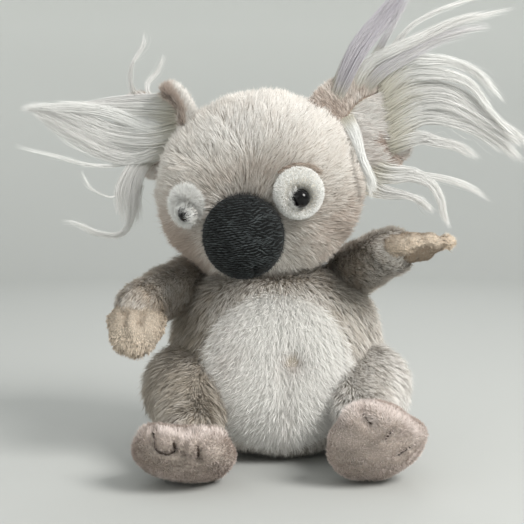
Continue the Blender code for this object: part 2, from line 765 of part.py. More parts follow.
def clear_of_limb(piece, limb):
    """Cuts a paw or foot by the end ball of its limb and by the run behind the ball."""
    combine(piece, socket(limb.end, limb.end_radius))
    behind = limb.run("cutter", SWING_GAP)
    lip = (limb.end - limb.root).length + limb.end_radius * LIP_SHARE
    combine(behind, above(limb.place, lip, lip))
    combine(piece, behind)


def leg_pieces(side, leg):
    """A haunch over its stuffing, and a foot with an upper, a sole, stuffing and toe stitches."""
    place_piece(leg.limb.cover("leg_cover", leg.inward), "leg_cover_" + side, "plush", leg.hip)
    stuffing = leg.limb.solid("leg_stuffing", -CLOTH - GAP)
    place_piece(stuffing, "leg_stuffing_" + side, "stuffing", leg.hip)
    sole_level = SOLE_DEPTH - FOOT_THICKNESS / 2
    upper = leg.foot.solid("foot_upper")
    combine(upper, leg.foot.solid("cutter", -CLOTH))
    filling = leg.foot.solid("foot_stuffing", -CLOTH - GAP)
    sole = leg.foot.solid("foot_sole")
    combine(sole, above(leg.foot.place, sole_level - GAP, 2 * FOOT_LENGTH))
    for piece in (upper, filling):
        combine(piece, below(leg.foot.place, sole_level, 2 * FOOT_LENGTH))
        clear_of_limb(piece, leg.limb)
    for piece in (upper, filling, sole):
        combine(piece, below(GROUND, 0.0, GROUND_REACH))
    place_piece(upper, "foot_upper_" + side, "sole", leg.ankle)
    place_piece(sole, "foot_sole_" + side, "sole", leg.ankle)
    place_piece(filling, "foot_stuffing_" + side, "stuffing", leg.ankle)
    for i, share in enumerate(leg.toe_shares):
        place_piece(toe_stitch(leg.foot, share), f"toe_stitch_{side}_{i + 1}", "thread", leg.ankle)


def toe_stitch(foot, aside_share):
    """A thread that lies over the front edge of the foot between two toes."""
    aside = foot.half.x * aside_share
    radius = TOE_THREAD_DIAMETER / 2
    points = []
    for i in range(THREAD_STEPS + 1):
        drop = (TOE_THREAD_TOP_SHARE - TOE_THREAD_FOOT_SHARE) * i / THREAD_STEPS
        height = foot.half.z * (TOE_THREAD_TOP_SHARE - drop)
        lift = foot.facing(aside, height) * (GAP + radius)
        points.append(foot.place @ (foot.front(aside, height) + lift))
    return tube("toe_stitch", points, [radius] * len(points), THREAD_SIDES)


def ear_pieces(side, ear):
    """An ear's back cloth with its root roll, its front cloth, and the hair on its front."""
    reach = 2 * EAR_HEIGHT + 2 * HAIR_REACH
    split = ear.place @ Matrix.Rotation(math.pi / 2, 4, "X")
    back = ear.disc.solid("ear_back")
    combine(back, above(split, -GAP / 2, reach))
    front = ear.disc.solid("ear_front")
    combine(front, below(split, GAP / 2, reach))
    hair = Form(ear.place, HAIR_PAD_WIDTH, HAIR_PAD_DEPTH, HAIR_PAD_HEIGHT, SMALL_FACETS).solid("ear_hair")
    inner_edge = along(ear.hinge, ear.outward)
    for piece in (back, front, hair):
        combine(piece, below(inner_edge, 0.0, reach))
    for shares in ear.locks:
        combine(hair, lock(ear, shares), "UNION")
    combine(hair, below(split, EAR_THICKNESS / 4, reach))
    combine(hair, ear.disc.solid("cutter", GAP))
    for piece in (back, front, hair):
        for degrees in (-EAR_SWING, EAR_SWING):
            combine(piece, HEAD.turned(ear.hinge, ear.axis, degrees).solid("cutter", GAP))
    start = ear.hinge - ear.axis * EAR_ROOT_LENGTH / 2
    for piece in (front, hair):
        length = EAR_ROOT_LENGTH + 2 * GAP
        combine(piece, rod("cutter", start - ear.axis * GAP, ear.axis, EAR_ROOT_RADIUS + GAP, length))
    combine(back, rod("root", start, ear.axis, EAR_ROOT_RADIUS, EAR_ROOT_LENGTH), "UNION")
    place_piece(back, "ear_back_" + side, "plush", ear.hinge)
    place_piece(front, "ear_front_" + side, "white_plush", ear.hinge)
    place_piece(hair, "ear_hair_" + side, "white_plush", ear.hinge)


def lock(ear, shares):
    """A lock of hair that runs out from the ear and thins to its tip."""
    route = smooth_path([ear.centre + Vector(share) * HAIR_REACH for share in shares], LOCK_STEPS)
    radii = []
    for i in range(len(route)):
        left = 1.0 - i / LOCK_STEPS
        radii.append(LOCK_TIP_RADIUS + (LOCK_RADIUS - LOCK_TIP_RADIUS) * left**LOCK_FULLNESS)
    return tube("lock", route, radii, LOCK_SIDES, LOCK_FLATNESS_SHARE)


def main():
    empty_scene()
    body_pieces()
    head_pieces()
    nose_pieces()
    for side, ear in EARS.items():
        ear_pieces(side, ear)
    for side, arm in ARMS.items():
        arm_pieces(side, arm)
    for side, leg in LEGS.items():
        leg_pieces(side, leg)


if __name__ == "__main__":
    main()
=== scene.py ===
"""Looks of a seated plush koala: deep pile over soft forms, long ear hair, a velour nose, bright eyes.

Metres, +Z up, the face towards -Y, the toy's left at +X. Every form is worked out from the joints
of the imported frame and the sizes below.
"""

import json
import math

import bpy
import numpy as np
from bpy.props import FloatProperty, FloatVectorProperty, IntProperty, PointerProperty
from bpy.types import Operator, Panel, PropertyGroup
from mathutils import Euler, Matrix


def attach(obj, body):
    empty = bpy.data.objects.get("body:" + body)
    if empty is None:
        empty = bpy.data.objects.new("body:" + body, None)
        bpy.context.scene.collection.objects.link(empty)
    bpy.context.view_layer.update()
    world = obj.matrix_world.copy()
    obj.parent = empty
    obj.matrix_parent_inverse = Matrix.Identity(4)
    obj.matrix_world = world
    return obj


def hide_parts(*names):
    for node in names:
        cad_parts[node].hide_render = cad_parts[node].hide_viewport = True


bl_info = {
    "name": "Plush koala looks",
    "version": (1, 0, 0),
    "blender": (4, 5, 0),
    "location": "View3D > Sidebar > Koala",
    "description": "Dresses a packed plush koala in pile, hair, velour and terry",
    "category": "Add Mesh",
}

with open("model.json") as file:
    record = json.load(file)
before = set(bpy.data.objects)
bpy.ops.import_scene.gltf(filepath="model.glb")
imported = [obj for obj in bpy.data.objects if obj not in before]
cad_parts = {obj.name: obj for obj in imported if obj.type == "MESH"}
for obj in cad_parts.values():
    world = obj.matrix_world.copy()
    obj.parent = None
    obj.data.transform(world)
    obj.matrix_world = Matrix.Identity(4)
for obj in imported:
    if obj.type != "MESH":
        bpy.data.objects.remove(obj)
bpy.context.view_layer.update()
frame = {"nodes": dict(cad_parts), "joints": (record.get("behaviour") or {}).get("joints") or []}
JOINTS = {joint["name"]: joint for joint in frame["joints"]}

SIDES = ("left", "right")
HANDS = {"left": 1.0, "right": -1.0}
MM = 0.001


# Shapes

def unit(rows):
    """The rows as vectors of length one."""
    return rows / np.maximum(np.linalg.norm(rows, axis=-1, keepdims=True), 1e-12)


def joint_at(name):
    """The point that a joint turns about."""
    return np.array(JOINTS[name]["pos_m"], float)


def placed(centre, across, up):
    """A placement whose X is across, whose Z is close to up and whose Y completes the turn."""
    x = unit(np.array(across, float))
    y = unit(np.cross(np.array(up, float), x))
    place = np.eye(4)
    place[:3, 0], place[:3, 1], place[:3, 2], place[:3, 3] = x, y, np.cross(x, y), centre
    return place


def moved(place, shift):
    """The placement moved by a shift in its own axes."""
    made = place.copy()
    made[:3, 3] += place[:3, :3] @ np.array(shift, float)
    return made


def waves(points, size, seed, count=9):
    """A smooth value near -1 to 1: the sum of sine waves about size long, in set directions."""
    rng = np.random.default_rng(seed)
    way = unit(rng.normal(size=(count, 3))) * (2 * math.pi / size) * rng.uniform(0.6, 1.5, (count, 1))
    phase = rng.uniform(0, 2 * math.pi, count)
    return np.sin(points @ way.T + phase).sum(-1) / math.sqrt(count)


def slopes(points, size, seed, count=9):
    """The steepest way up the field that waves gives, about one long."""
    rng = np.random.default_rng(seed)
    way = unit(rng.normal(size=(count, 3))) * (2 * math.pi / size) * rng.uniform(0.6, 1.5, (count, 1))
    phase = rng.uniform(0, 2 * math.pi, count)
    return (np.cos(points @ way.T + phase) @ way) * size / (2 * math.pi) / math.sqrt(count)


def bump_at(points, centre, reach):
    """A round hump of height one at the centre that dies away over its reach: exp(-(d / reach)^2)."""
    return np.exp(-(((points - np.array(centre)) / np.array(reach)) ** 2).sum(-1))


def crease(points, route, width):
    """How near points come to a route given in millimetres: exp(-(d / width)^2)."""
    near = np.full(points.shape[:-1], np.inf)
    corners = np.array(route, float) * MM
    for start, end in zip(corners[:-1], corners[1:]):
        way = end - start
        share = np.clip((points - start) @ way / (way @ way), 0, 1)[..., None]
        near = np.minimum(near, np.linalg.norm(points - start - share * way, axis=-1))
    return np.exp(-((near / width) ** 2))


def ease(share):
    """A smooth step from 0 to 1: 3 s^2 - 2 s^3."""
    s = np.clip(share, 0.0, 1.0)
    return s * s * (3 - 2 * s)


class Form:
    """An oval form with its own fullness in plan, crown and base.

    At a height share h it is (1 - |h|^p)^(1/p) (1 - taper h) as wide as at its middle, with p the
    fullness of the crown above and of the base below, and its plan is |x/a|^q + |y/b|^q = 1.
    """

    def __init__(self, place, size, plan=2.0, crown=2.0, base=2.0, taper=0.0, grow=0.0):
        self.place = np.array(place, float)
        self.half = np.array(size, float) / 2 + grow
        self.plan, self.crown, self.base, self.taper = plan, crown, base, taper

    def grid(self, rows=72, columns=112):
        """The surface as rows of points from the lower pole to the upper one."""
        rise = np.linspace(-math.pi / 2, math.pi / 2, rows)[:, None]
        turn = np.linspace(0, 2 * math.pi, columns, endpoint=False)[None, :]
        z, level = np.sin(rise), np.maximum(np.cos(rise), 0.0)
        power = np.where(z > 0, self.crown, self.base)
        height = np.sign(z) * np.abs(z) ** (2 / power)
        wide = level ** (2 / power) * (1 - self.taper * height)
        x, y = np.cos(turn), np.sin(turn)
        ring = (np.abs(x) ** self.plan + np.abs(y) ** self.plan) ** (-1 / self.plan)
        local = np.stack(
            [
                self.half[0] * wide * ring * x,
                self.half[1] * wide * ring * y,
                np.broadcast_to(self.half[2] * height, (rows, columns)),
            ],
            axis=-1,
        )
        return self.out(local)

    def out(self, local):
        """Points of the form's own axes, in the world."""
        return local @ self.place[:3, :3].T + self.place[:3, 3]

    def own(self, points):
        """World points in the form's own axes."""
        return (points - self.place[:3, 3]) @ self.place[:3, :3]

    def level(self, points, grow=0.0):
        """Below one inside the form once its skin has moved out by grow, and above one outside."""
        local = self.own(points)
        half = self.half + grow
        h = np.clip(local[..., 2] / half[2], -1.5, 1.5)
        power = np.where(h > 0, self.crown, self.base)
        wide = np.maximum(1 - np.abs(h) ** power, 1e-6) ** (1 / power) * (1 - self.taper * h)
        across = np.abs(local[..., 0] / (half[0] * wide)) ** self.plan
        across += np.abs(local[..., 1] / (half[1] * wide)) ** self.plan
        return across ** (1 / self.plan)

    def front(self, aside, height):
        """The point of the front, in the form's own axes, at this place across and height."""
        aside, height = np.broadcast_arrays(np.array(aside, float), np.array(height, float))
        h = height / self.half[2]
        power = np.where(h > 0, self.crown, self.base)
        wide = np.maximum(1 - np.abs(h) ** power, 0) ** (1 / power) * (1 - self.taper * h)
        left = np.maximum(1 - np.abs(aside / (self.half[0] * np.maximum(wide, 1e-9))) ** self.plan, 0)
        return np.stack([aside, -self.half[1] * wide * left ** (1 / self.plan), height], axis=-1)


def limb_grid(root, end, root_radius, end_radius, rows=64, columns=64):
    """A limb's skin: a ball, a taper that eases from one radius to the other, and a round end."""
    root, end = np.array(root), np.array(end)
    way = end - root
    length = np.linalg.norm(way)
    way = way / length
    side = unit(np.cross(way, (0.0, 0.0, 1.0)))
    over = np.cross(side, way)
    tail = np.linspace(-math.pi / 2, 0, rows // 4)[:-1]
    run = np.linspace(0, 1, rows - 2 * (rows // 4) + 2)
    cap = np.linspace(0, math.pi / 2, rows // 4)[1:]
    reach = np.concatenate([root_radius * np.sin(tail), length * run, length + end_radius * np.sin(cap)])
    ease_run = root_radius + (end_radius - root_radius) * (1 - np.cos(math.pi * run)) / 2
    radius = np.concatenate([root_radius * np.cos(tail), ease_run, end_radius * np.cos(cap)])
    turn = np.linspace(0, 2 * math.pi, columns, endpoint=False)
    ring = np.cos(turn)[:, None] * side + np.sin(turn)[:, None] * over
    return root + reach[:, None, None] * way + radius[:, None, None] * ring[None]


def grid_normals(grid):
    """Outward unit normals of a grid of rings: the cross of the slopes along and across the rows."""
    around = np.roll(grid, -1, axis=1) - np.roll(grid, 1, axis=1)
    along = np.empty_like(grid)
    along[1:-1] = grid[2:] - grid[:-2]
    along[0], along[-1] = grid[1] - grid[0], grid[-1] - grid[-2]
    normals = np.cross(around, along)
    normals[0] = normals[1].mean(axis=0)
    normals[-1] = normals[-2].mean(axis=0)
    normals = unit(normals)
    centre = grid.reshape(-1, 3).mean(axis=0)
    if ((grid - centre) * normals).sum() < 0:
        normals = -normals
    return normals


def raised(grid, amount):
    """The grid moved out along its normals by an amount for each point."""
    return grid + grid_normals(grid) * np.broadcast_to(amount, grid.shape[:2])[..., None]


def put_mesh(name, points, corners, starts, uv):
    """A mesh object of faces given by their corners, with one UV pair for each corner."""
    mesh = bpy.data.meshes.new(name)
    mesh.vertices.add(len(points))
    mesh.vertices.foreach_set("co", np.ascontiguousarray(points, np.float32).ravel())
    mesh.loops.add(len(corners))
    mesh.loops.foreach_set("vertex_index", np.ascontiguousarray(corners, np.int32).ravel())
    mesh.polygons.add(len(starts))
    mesh.polygons.foreach_set("loop_start", np.ascontiguousarray(starts, np.int32))
    mesh.polygons.foreach_set("use_smooth", np.ones(len(starts), bool))
    layer = mesh.uv_layers.new(name="OFBake")
    layer.uv.foreach_set("vector", np.ascontiguousarray(uv, np.float32).ravel())
    mesh.update(calc_edges=True)
    mesh.validate()
    made = bpy.data.objects.new(name, mesh)
    bpy.context.scene.collection.objects.link(made)
    return made


def skin(name, grid):
    """A closed skin through a grid of rings, with a fan at both poles and the grid as its UV map."""
    rows, columns = grid.shape[:2]
    outward = np.cross(
        (np.roll(grid, -1, axis=1) - grid)[1:-1], (grid[2:] - grid[1:-1])
    )
    flip = (outward * (grid[1:-1] - grid.reshape(-1, 3).mean(axis=0))).sum() < 0
    points = np.concatenate([grid[0].mean(axis=0)[None], grid[1:-1].reshape(-1, 3), grid[-1].mean(axis=0)[None]])
    ring = np.arange(columns)
    after = (ring + 1) % columns
    row = np.arange(rows - 3)[:, None]
    first = 1 + row * columns
    quads = np.stack([first + ring, first + after, first + columns + after, first + columns + ring], axis=-1)
    quads = quads.reshape(-1, 4)
    u0, u1 = ring / columns, (ring + 1) / columns
    v0 = np.broadcast_to((row + 1) / (rows - 1), (rows - 3, columns))
    v1 = np.broadcast_to((row + 2) / (rows - 1), (rows - 3, columns))
    u0b, u1b = np.broadcast_to(u0, v0.shape), np.broadcast_to(u1, v0.shape)
    quad_uv = np.stack(
        [np.stack([u0b, v0], -1), np.stack([u1b, v0], -1), np.stack([u1b, v1], -1), np.stack([u0b, v1], -1)], 2
    ).reshape(-1, 4, 2)
    last = len(points) - 1
    base = 1 + (rows - 3) * columns
    low = np.stack([np.zeros(columns, int), 1 + after, 1 + ring], axis=-1)
    high = np.stack([np.full(columns, last), base + ring, base + after], axis=-1)
    low_v, high_v = 1 / (rows - 1), 1 - 1 / (rows - 1)
    low_uv = np.stack(
        [
            np.stack([(u0 + u1) / 2, np.zeros(columns)], -1),
            np.stack([u1, np.full(columns, low_v)], -1),
            np.stack([u0, np.full(columns, low_v)], -1),
        ],
        1,
    )
    high_uv = np.stack(
        [
            np.stack([(u0 + u1) / 2, np.ones(columns)], -1),
            np.stack([u0, np.full(columns, high_v)], -1),
            np.stack([u1, np.full(columns, high_v)], -1),
        ],
        1,
    )
    if flip:
        quads, low, high = quads[:, ::-1], low[:, ::-1], high[:, ::-1]
        quad_uv, low_uv, high_uv = quad_uv[:, ::-1], low_uv[:, ::-1], high_uv[:, ::-1]
    corners = np.concatenate([quads.ravel(), low.ravel(), high.ravel()])
    uv = np.concatenate([quad_uv.reshape(-1, 2), low_uv.reshape(-1, 2), high_uv.reshape(-1, 2)])
    sizes = np.concatenate([np.full(len(quads), 4), np.full(2 * columns, 3)])
    starts = np.concatenate([[0], np.cumsum(sizes)[:-1]])
    return put_mesh(name, points, corners, starts, uv)


def scatter(grid, count, seed, normals=None):
    """Random spots of a grid surface, spread by area, with the normal at each one."""
    rng = np.random.default_rng(seed)
    normals = grid_normals(grid) if normals is None else normals
    wrapped = np.concatenate([grid, grid[:, :1]], axis=1)
    wrapped_n = np.concatenate([normals, normals[:, :1]], axis=1)
    a, b, c, d = wrapped[:-1, :-1], wrapped[:-1, 1:], wrapped[1:, 1:], wrapped[1:, :-1]
    area = np.linalg.norm(np.cross(c - a, d - b), axis=-1).ravel()
    total = np.cumsum(area)
    pick = np.searchsorted(total, rng.uniform(0, total[-1], count))
    row, column = np.divmod(np.minimum(pick, len(area) - 1), grid.shape[1])
    s, t = rng.uniform(size=(2, count, 1))

    def at(values):
        low = values[row, column] * (1 - t) + values[row, column + 1] * t
        high = values[row + 1, column] * (1 - t) + values[row + 1, column + 1] * t
        return low * (1 - s) + high * s

    return at(wrapped), unit(at(wrapped_n))


def strands(name, path, out, width, taper, tone, sides=2, roll=0.6, seed=1):
    """Hairs along paths, each drawn to a point at its tip.

    A path is a row of points for each hair. A hair of two sides is a flat blade whose face looks
    out, rolled by up to roll radians; of three sides it is a thin closed spike. Taper gives its width
    at each point before the tip, as a share. The UV map holds the tone across and the reach along.
    """
    rng = np.random.default_rng(seed)
    count, stations = path.shape[0], path.shape[1] - 1
    way = np.empty_like(path[:, :-1])
    way[:, 0] = path[:, 1] - path[:, 0]
    way[:, 1:] = path[:, 2:] - path[:, :-2]
    way = unit(way)
    wide = unit(np.cross(way, out[:, None, :]))
    deep = np.cross(way, wide)
    turn = rng.uniform(-roll, roll, (count, 1, 1))
    wide, deep = wide * np.cos(turn) + deep * np.sin(turn), deep * np.cos(turn) - wide * np.sin(turn)
    angles = np.array([math.pi, 0.0]) if sides == 2 else math.pi / 2 + 2 * math.pi * np.arange(sides) / sides
    radius = (np.broadcast_to(width, (count,))[:, None] * np.array(taper)[None, :])[..., None] / 2
    rings = [path[:, :-1] + radius * (wide * math.cos(a) + deep * math.sin(a)) for a in angles]
    rings = np.stack(rings, axis=2)
    per = stations * sides + 1
    points = np.concatenate([rings.reshape(count, -1, 3), path[:, -1:]], axis=1).reshape(-1, 3)
    pairs = [(0, 1)] if sides == 2 else [(i, (i + 1) % sides) for i in range(sides)]
    faces, sizes = [], []
    for k in range(stations - 1):
        for i, j in pairs:
            faces += [k * sides + i, k * sides + j, (k + 1) * sides + j, (k + 1) * sides + i]
            sizes.append(4)
    for i, j in pairs:
        faces += [(stations - 1) * sides + i, (stations - 1) * sides + j, per - 1]
        sizes.append(3)
    if sides > 2:
        faces += list(range(sides))[::-1]
        sizes.append(sides)
    faces = np.array(faces)
    corners = (faces[None, :] + per * np.arange(count)[:, None]).ravel()
    offsets = np.concatenate([[0], np.cumsum(sizes)[:-1]])
    starts = (offsets[None, :] + len(faces) * np.arange(count)[:, None]).ravel()
    along = np.repeat(np.arange(stations) / stations, sides)
    along = np.concatenate([along, [1.0]])
    aside = np.concatenate([np.tile(np.linspace(-1, 1, sides), stations), [0.0]]) * 0.012
    tone = np.clip(tone, 0.02, 0.98)
    u = tone[:, None] + aside[faces][None, :]
    v = np.broadcast_to(along[faces][None, :] * 0.96 + 0.02, u.shape)
    return put_mesh(name, points, corners, starts, np.stack([u, v], -1).reshape(-1, 2))


def combed(roots, normals, flow, length, lift, bow=0.5, clump=0.0, clump_size=0.006, seed=1, spans=2, stray=0.12):
    """Paths of pile hairs: each leaves its root between the flow and the normal and bows to the flow.

    Lift is the angle off the surface at the root; by the tip it has dropped by the share bow. The
    tips drift down the slopes of a wave field, so that neighbours lean together in tufts.
    """
    rng = np.random.default_rng(seed)
    flow = flow - (flow * normals).sum(-1, keepdims=True) * normals
    flow = unit(unit(flow) + rng.normal(0, stray, flow.shape))
    lean = slopes(roots, clump_size, seed + 7)
    lean = lean - (lean * normals).sum(-1, keepdims=True) * normals
    length = np.broadcast_to(length, (len(roots),)) * rng.uniform(0.78, 1.12, len(roots))
    lift = np.broadcast_to(lift, (len(roots),)) + rng.normal(0, 0.10, len(roots))
    path = [roots]
    for k in range(spans):
        share = (k + 0.5) / spans
        angle = (lift * (1 - bow * share))[:, None]
        step = flow * np.cos(angle) + normals * np.sin(angle)
        path.append(path[-1] + step * (length / spans)[:, None])
    path = np.stack(path, axis=1)
    reach = (np.arange(spans + 1) / spans) ** 1.5
    return path - lean[:, None, :] * clump * reach[None, :, None]


# Materials

def node(tree, kind, **values):
    """A node with its plain settings and the values of its inputs."""
    made = tree.nodes.new(kind)
    for key, value in values.items():
        if hasattr(made, key):
            setattr(made, key, value)
        else:
            made.inputs[key.replace("_", " ")].default_value = value
    return made


def colour(value):
    return (*value, 1.0)


def pile_group():
    """The colour of pile and hair: root colour at the skin, and by tone from deep to pale outside."""
    name = "Pile colour"
    if name in bpy.data.node_groups:
        return bpy.data.node_groups[name]
    group = bpy.data.node_groups.new(name, "ShaderNodeTree")
    for label in ("Root", "Deep", "Middle", "Pale"):
        group.interface.new_socket(name=label, in_out="INPUT", socket_type="NodeSocketColor")
    group.interface.new_socket(name="Root reach", in_out="INPUT", socket_type="NodeSocketFloat")
    group.interface.new_socket(name="Color", in_out="OUTPUT", socket_type="NodeSocketColor")
    links = group.links
    inside = group.nodes.new("NodeGroupInput")
    outside = group.nodes.new("NodeGroupOutput")
    uv = node(group, "ShaderNodeUVMap", uv_map="OFBake")
    split = group.nodes.new("ShaderNodeSeparateXYZ")
    links.new(uv.outputs["UV"], split.inputs[0])
    lower = node(group, "ShaderNodeMapRange", clamp=True)
    lower.inputs["From Max"].default_value = 0.5
    upper = node(group, "ShaderNodeMapRange", clamp=True)
    upper.inputs["From Min"].default_value = 0.5
    links.new(split.outputs["X"], lower.inputs["Value"])
    links.new(split.outputs["X"], upper.inputs["Value"])
    first = node(group, "ShaderNodeMix", data_type="RGBA")
    second = node(group, "ShaderNodeMix", data_type="RGBA")
    third = node(group, "ShaderNodeMix", data_type="RGBA")
    reach = node(group, "ShaderNodeMapRange", clamp=True, interpolation_type="SMOOTHSTEP")
    links.new(split.outputs["Y"], reach.inputs["Value"])
    links.new(inside.outputs["Root reach"], reach.inputs["From Max"])
    links.new(lower.outputs["Result"], first.inputs["Factor"])
    links.new(inside.outputs["Deep"], first.inputs["A"])
    links.new(inside.outputs["Middle"], first.inputs["B"])
    links.new(upper.outputs["Result"], second.inputs["Factor"])
    links.new(first.outputs["Result"], second.inputs["A"])
    links.new(inside.outputs["Pale"], second.inputs["B"])
    links.new(reach.outputs["Result"], third.inputs["Factor"])
    links.new(inside.outputs["Root"], third.inputs["A"])
    links.new(second.outputs["Result"], third.inputs["B"])
    links.new(third.outputs["Result"], outside.inputs["Color"])
    return group


def fuzz_group():
    """Fibre texture on a skin: a mottle between two colours and a fine height for its bump."""
    name = "Fibre ground"
    if name in bpy.data.node_groups:
        return bpy.data.node_groups[name]
    group = bpy.data.node_groups.new(name, "ShaderNodeTree")
    for label in ("Dark", "Light"):
        group.interface.new_socket(name=label, in_out="INPUT", socket_type="NodeSocketColor")
    for label in ("Grain", "Patch"):
        group.interface.new_socket(name=label, in_out="INPUT", socket_type="NodeSocketFloat")
    group.interface.new_socket(name="Color", in_out="OUTPUT", socket_type="NodeSocketColor")
    group.interface.new_socket(name="Height", in_out="OUTPUT", socket_type="NodeSocketFloat")
    links = group.links
    inside = group.nodes.new("NodeGroupInput")
    outside = group.nodes.new("NodeGroupOutput")
    place = group.nodes.new("ShaderNodeTexCoord")
    grain = node(group, "ShaderNodeTexNoise", Detail=4.0, Roughness=0.65)
    patch = node(group, "ShaderNodeTexNoise", Detail=2.0)
    for texture, label in ((grain, "Grain"), (patch, "Patch")):
        links.new(place.outputs["Object"], texture.inputs["Vector"])
        links.new(inside.outputs[label], texture.inputs["Scale"])
    both = node(group, "ShaderNodeMath", operation="MULTIPLY")
    spread = node(group, "ShaderNodeMapRange", clamp=True)
    spread.inputs["From Min"].default_value = 0.14
    spread.inputs["From Max"].default_value = 0.38
    links.new(grain.outputs["Fac"], both.inputs[0])
    links.new(patch.outputs["Fac"], both.inputs[1])
    links.new(both.outputs["Value"], spread.inputs["Value"])
    mix = node(group, "ShaderNodeMix", data_type="RGBA")
    links.new(spread.outputs["Result"], mix.inputs["Factor"])
    links.new(inside.outputs["Dark"], mix.inputs["A"])
    links.new(inside.outputs["Light"], mix.inputs["B"])
    links.new(mix.outputs["Result"], outside.inputs["Color"])
    links.new(grain.outputs["Fac"], outside.inputs["Height"])
    return group


def shader_of(name, roughness, sheen=0.0):
    """A new material, its Principled shader, and its tree."""
    made = bpy.data.materials.new(name)
    made.use_nodes = True
    shader = made.node_tree.nodes["Principled BSDF"]
    shader.inputs["Roughness"].default_value = roughness
    shader.inputs["Sheen Weight"].default_value = sheen
    shader.inputs["Sheen Roughness"].default_value = 0.5
    shader.inputs["Specular IOR Level"].default_value = 0.25
    return made, shader, made.node_tree


def pile_material(name, root, deep, middle, pale, root_reach=0.55, roughness=0.85, sheen=0.15):
    """Pile or hair whose colour runs from its root to its tip and varies from hair to hair."""
    made, shader, tree = shader_of(name, roughness, sheen)
    group = node(tree, "ShaderNodeGroup", node_tree=pile_group())
    for label, value in (("Root", root), ("Deep", deep), ("Middle", middle), ("Pale", pale)):
        group.inputs[label].default_value = colour(value)
    group.inputs["Root reach"].default_value = root_reach
    tree.links.new(group.outputs["Color"], shader.inputs["Base Color"])
    return made


def ground_material(name, dark, light, grain=900.0, patch=60.0, depth=0.0004, roughness=0.95, sheen=0.1):
    """Cloth ground under a pile, or a short nap, with fibre grain in its colour and bump."""
    made, shader, tree = shader_of(name, roughness, sheen)
    group = node(tree, "ShaderNodeGroup", node_tree=fuzz_group())
    group.inputs["Dark"].default_value = colour(dark)
    group.inputs["Light"].default_value = colour(light)
    group.inputs["Grain"].default_value = grain
    group.inputs["Patch"].default_value = patch
    bump = node(tree, "ShaderNodeBump", Strength=0.6, Distance=depth)
    tree.links.new(group.outputs["Color"], shader.inputs["Base Color"])
    tree.links.new(group.outputs["Height"], bump.inputs["Height"])
    tree.links.new(bump.outputs["Normal"], shader.inputs["Normal"])
    return made


def dress(piece, material, body, replaced=()):
    """Gives the piece its material and its body, and hides the nodes that it stands for."""
    piece.data.materials.clear()
    piece.data.materials.append(material)
    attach(piece, body)
    if replaced:
        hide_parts(*replaced)
    return piece


# Settings

class KoalaSizes(PropertyGroup):
    """Sizes of the pile and the hair."""

    pile_inset: FloatProperty(
        name="Pile inset", description="How far the cloth lies below the pile's outline", default=0.0030, unit="LENGTH"
    )
    head_pile: FloatProperty(name="Head pile", description="Length of the head's pile", default=0.0068, unit="LENGTH")
    body_pile: FloatProperty(name="Body pile", description="Length of the body's pile", default=0.0080, unit="LENGTH")
    belly_pile: FloatProperty(name="Belly pile", description="Length of the belly's pile", default=0.0076,
        unit="LENGTH")
    limb_pile: FloatProperty(name="Limb pile", description="Length of the limbs' pile", default=0.0068, unit="LENGTH")
    hair_width: FloatProperty(name="Hair width", description="Width of one pile hair", default=0.00036, unit="LENGTH")
    head_hairs: IntProperty(name="Head hairs", description="Hairs on the head", default=98000)
    body_hairs: IntProperty(name="Body hairs", description="Hairs on the body", default=86000)
    belly_hairs: IntProperty(name="Belly hairs", description="Hairs on the belly", default=64000)
    limb_hairs: IntProperty(name="Limb hairs", description="Hairs on each limb", default=23000)
    ear_hairs: IntProperty(name="Ear hairs", description="Long hairs on each ear", default=7200)


class KoalaColours(PropertyGroup):
    """Colours of the fabrics."""

    plush_root: FloatVectorProperty(name="Plush root", description="Pile near the cloth", subtype="COLOR",
        default=(0.34, 0.285, 0.22))
    plush_deep: FloatVectorProperty(name="Plush deep", description="Darkest pile", subtype="COLOR",
        default=(0.50, 0.44, 0.365))
    plush_middle: FloatVectorProperty(name="Plush", description="Main pile", subtype="COLOR",
        default=(0.76, 0.72, 0.67))
    plush_pale: FloatVectorProperty(name="Plush pale", description="Palest pile", subtype="COLOR",
        default=(0.91, 0.89, 0.86))
    white: FloatVectorProperty(name="White", description="Belly and ear hair", subtype="COLOR",
        default=(0.95, 0.94, 0.91))
    velour: FloatVectorProperty(name="Velour", description="Nose cloth", subtype="COLOR",
        default=(0.013, 0.0150, 0.0155))
    terry: FloatVectorProperty(name="Terry", description="Paw cloth", subtype="COLOR", default=(0.66, 0.57, 0.47))
    sole: FloatVectorProperty(name="Sole", description="Foot cloth", subtype="COLOR", default=(0.66, 0.575, 0.51))


class KoalaStage(PropertyGroup):
    """Camera and light."""

    lens: FloatProperty(name="Lens", description="Focal length in millimetres", default=75.0)
    distance: FloatProperty(name="Distance", description="Camera to aim", default=0.600, unit="LENGTH")
    elevation: FloatProperty(name="Elevation", description="Camera above the level", default=math.radians(4.0),
        unit="ROTATION")
    aim: FloatVectorProperty(name="Aim", description="Point looked at", default=(-0.008, 0.0, 0.1034), unit="LENGTH")
    key_watts: FloatProperty(name="Key", description="Power of the key light", default=14.5)
    fill_watts: FloatProperty(name="Fill", description="Power of the fill light", default=1.3)
    back_watts: FloatProperty(name="Back", description="Power of the light behind", default=3.0)
    room: FloatProperty(name="Room", description="Strength of the room's even light", default=0.68)


def sizes():
    return bpy.context.scene.koala_sizes


def colours():
    return bpy.context.scene.koala_colours


# Places

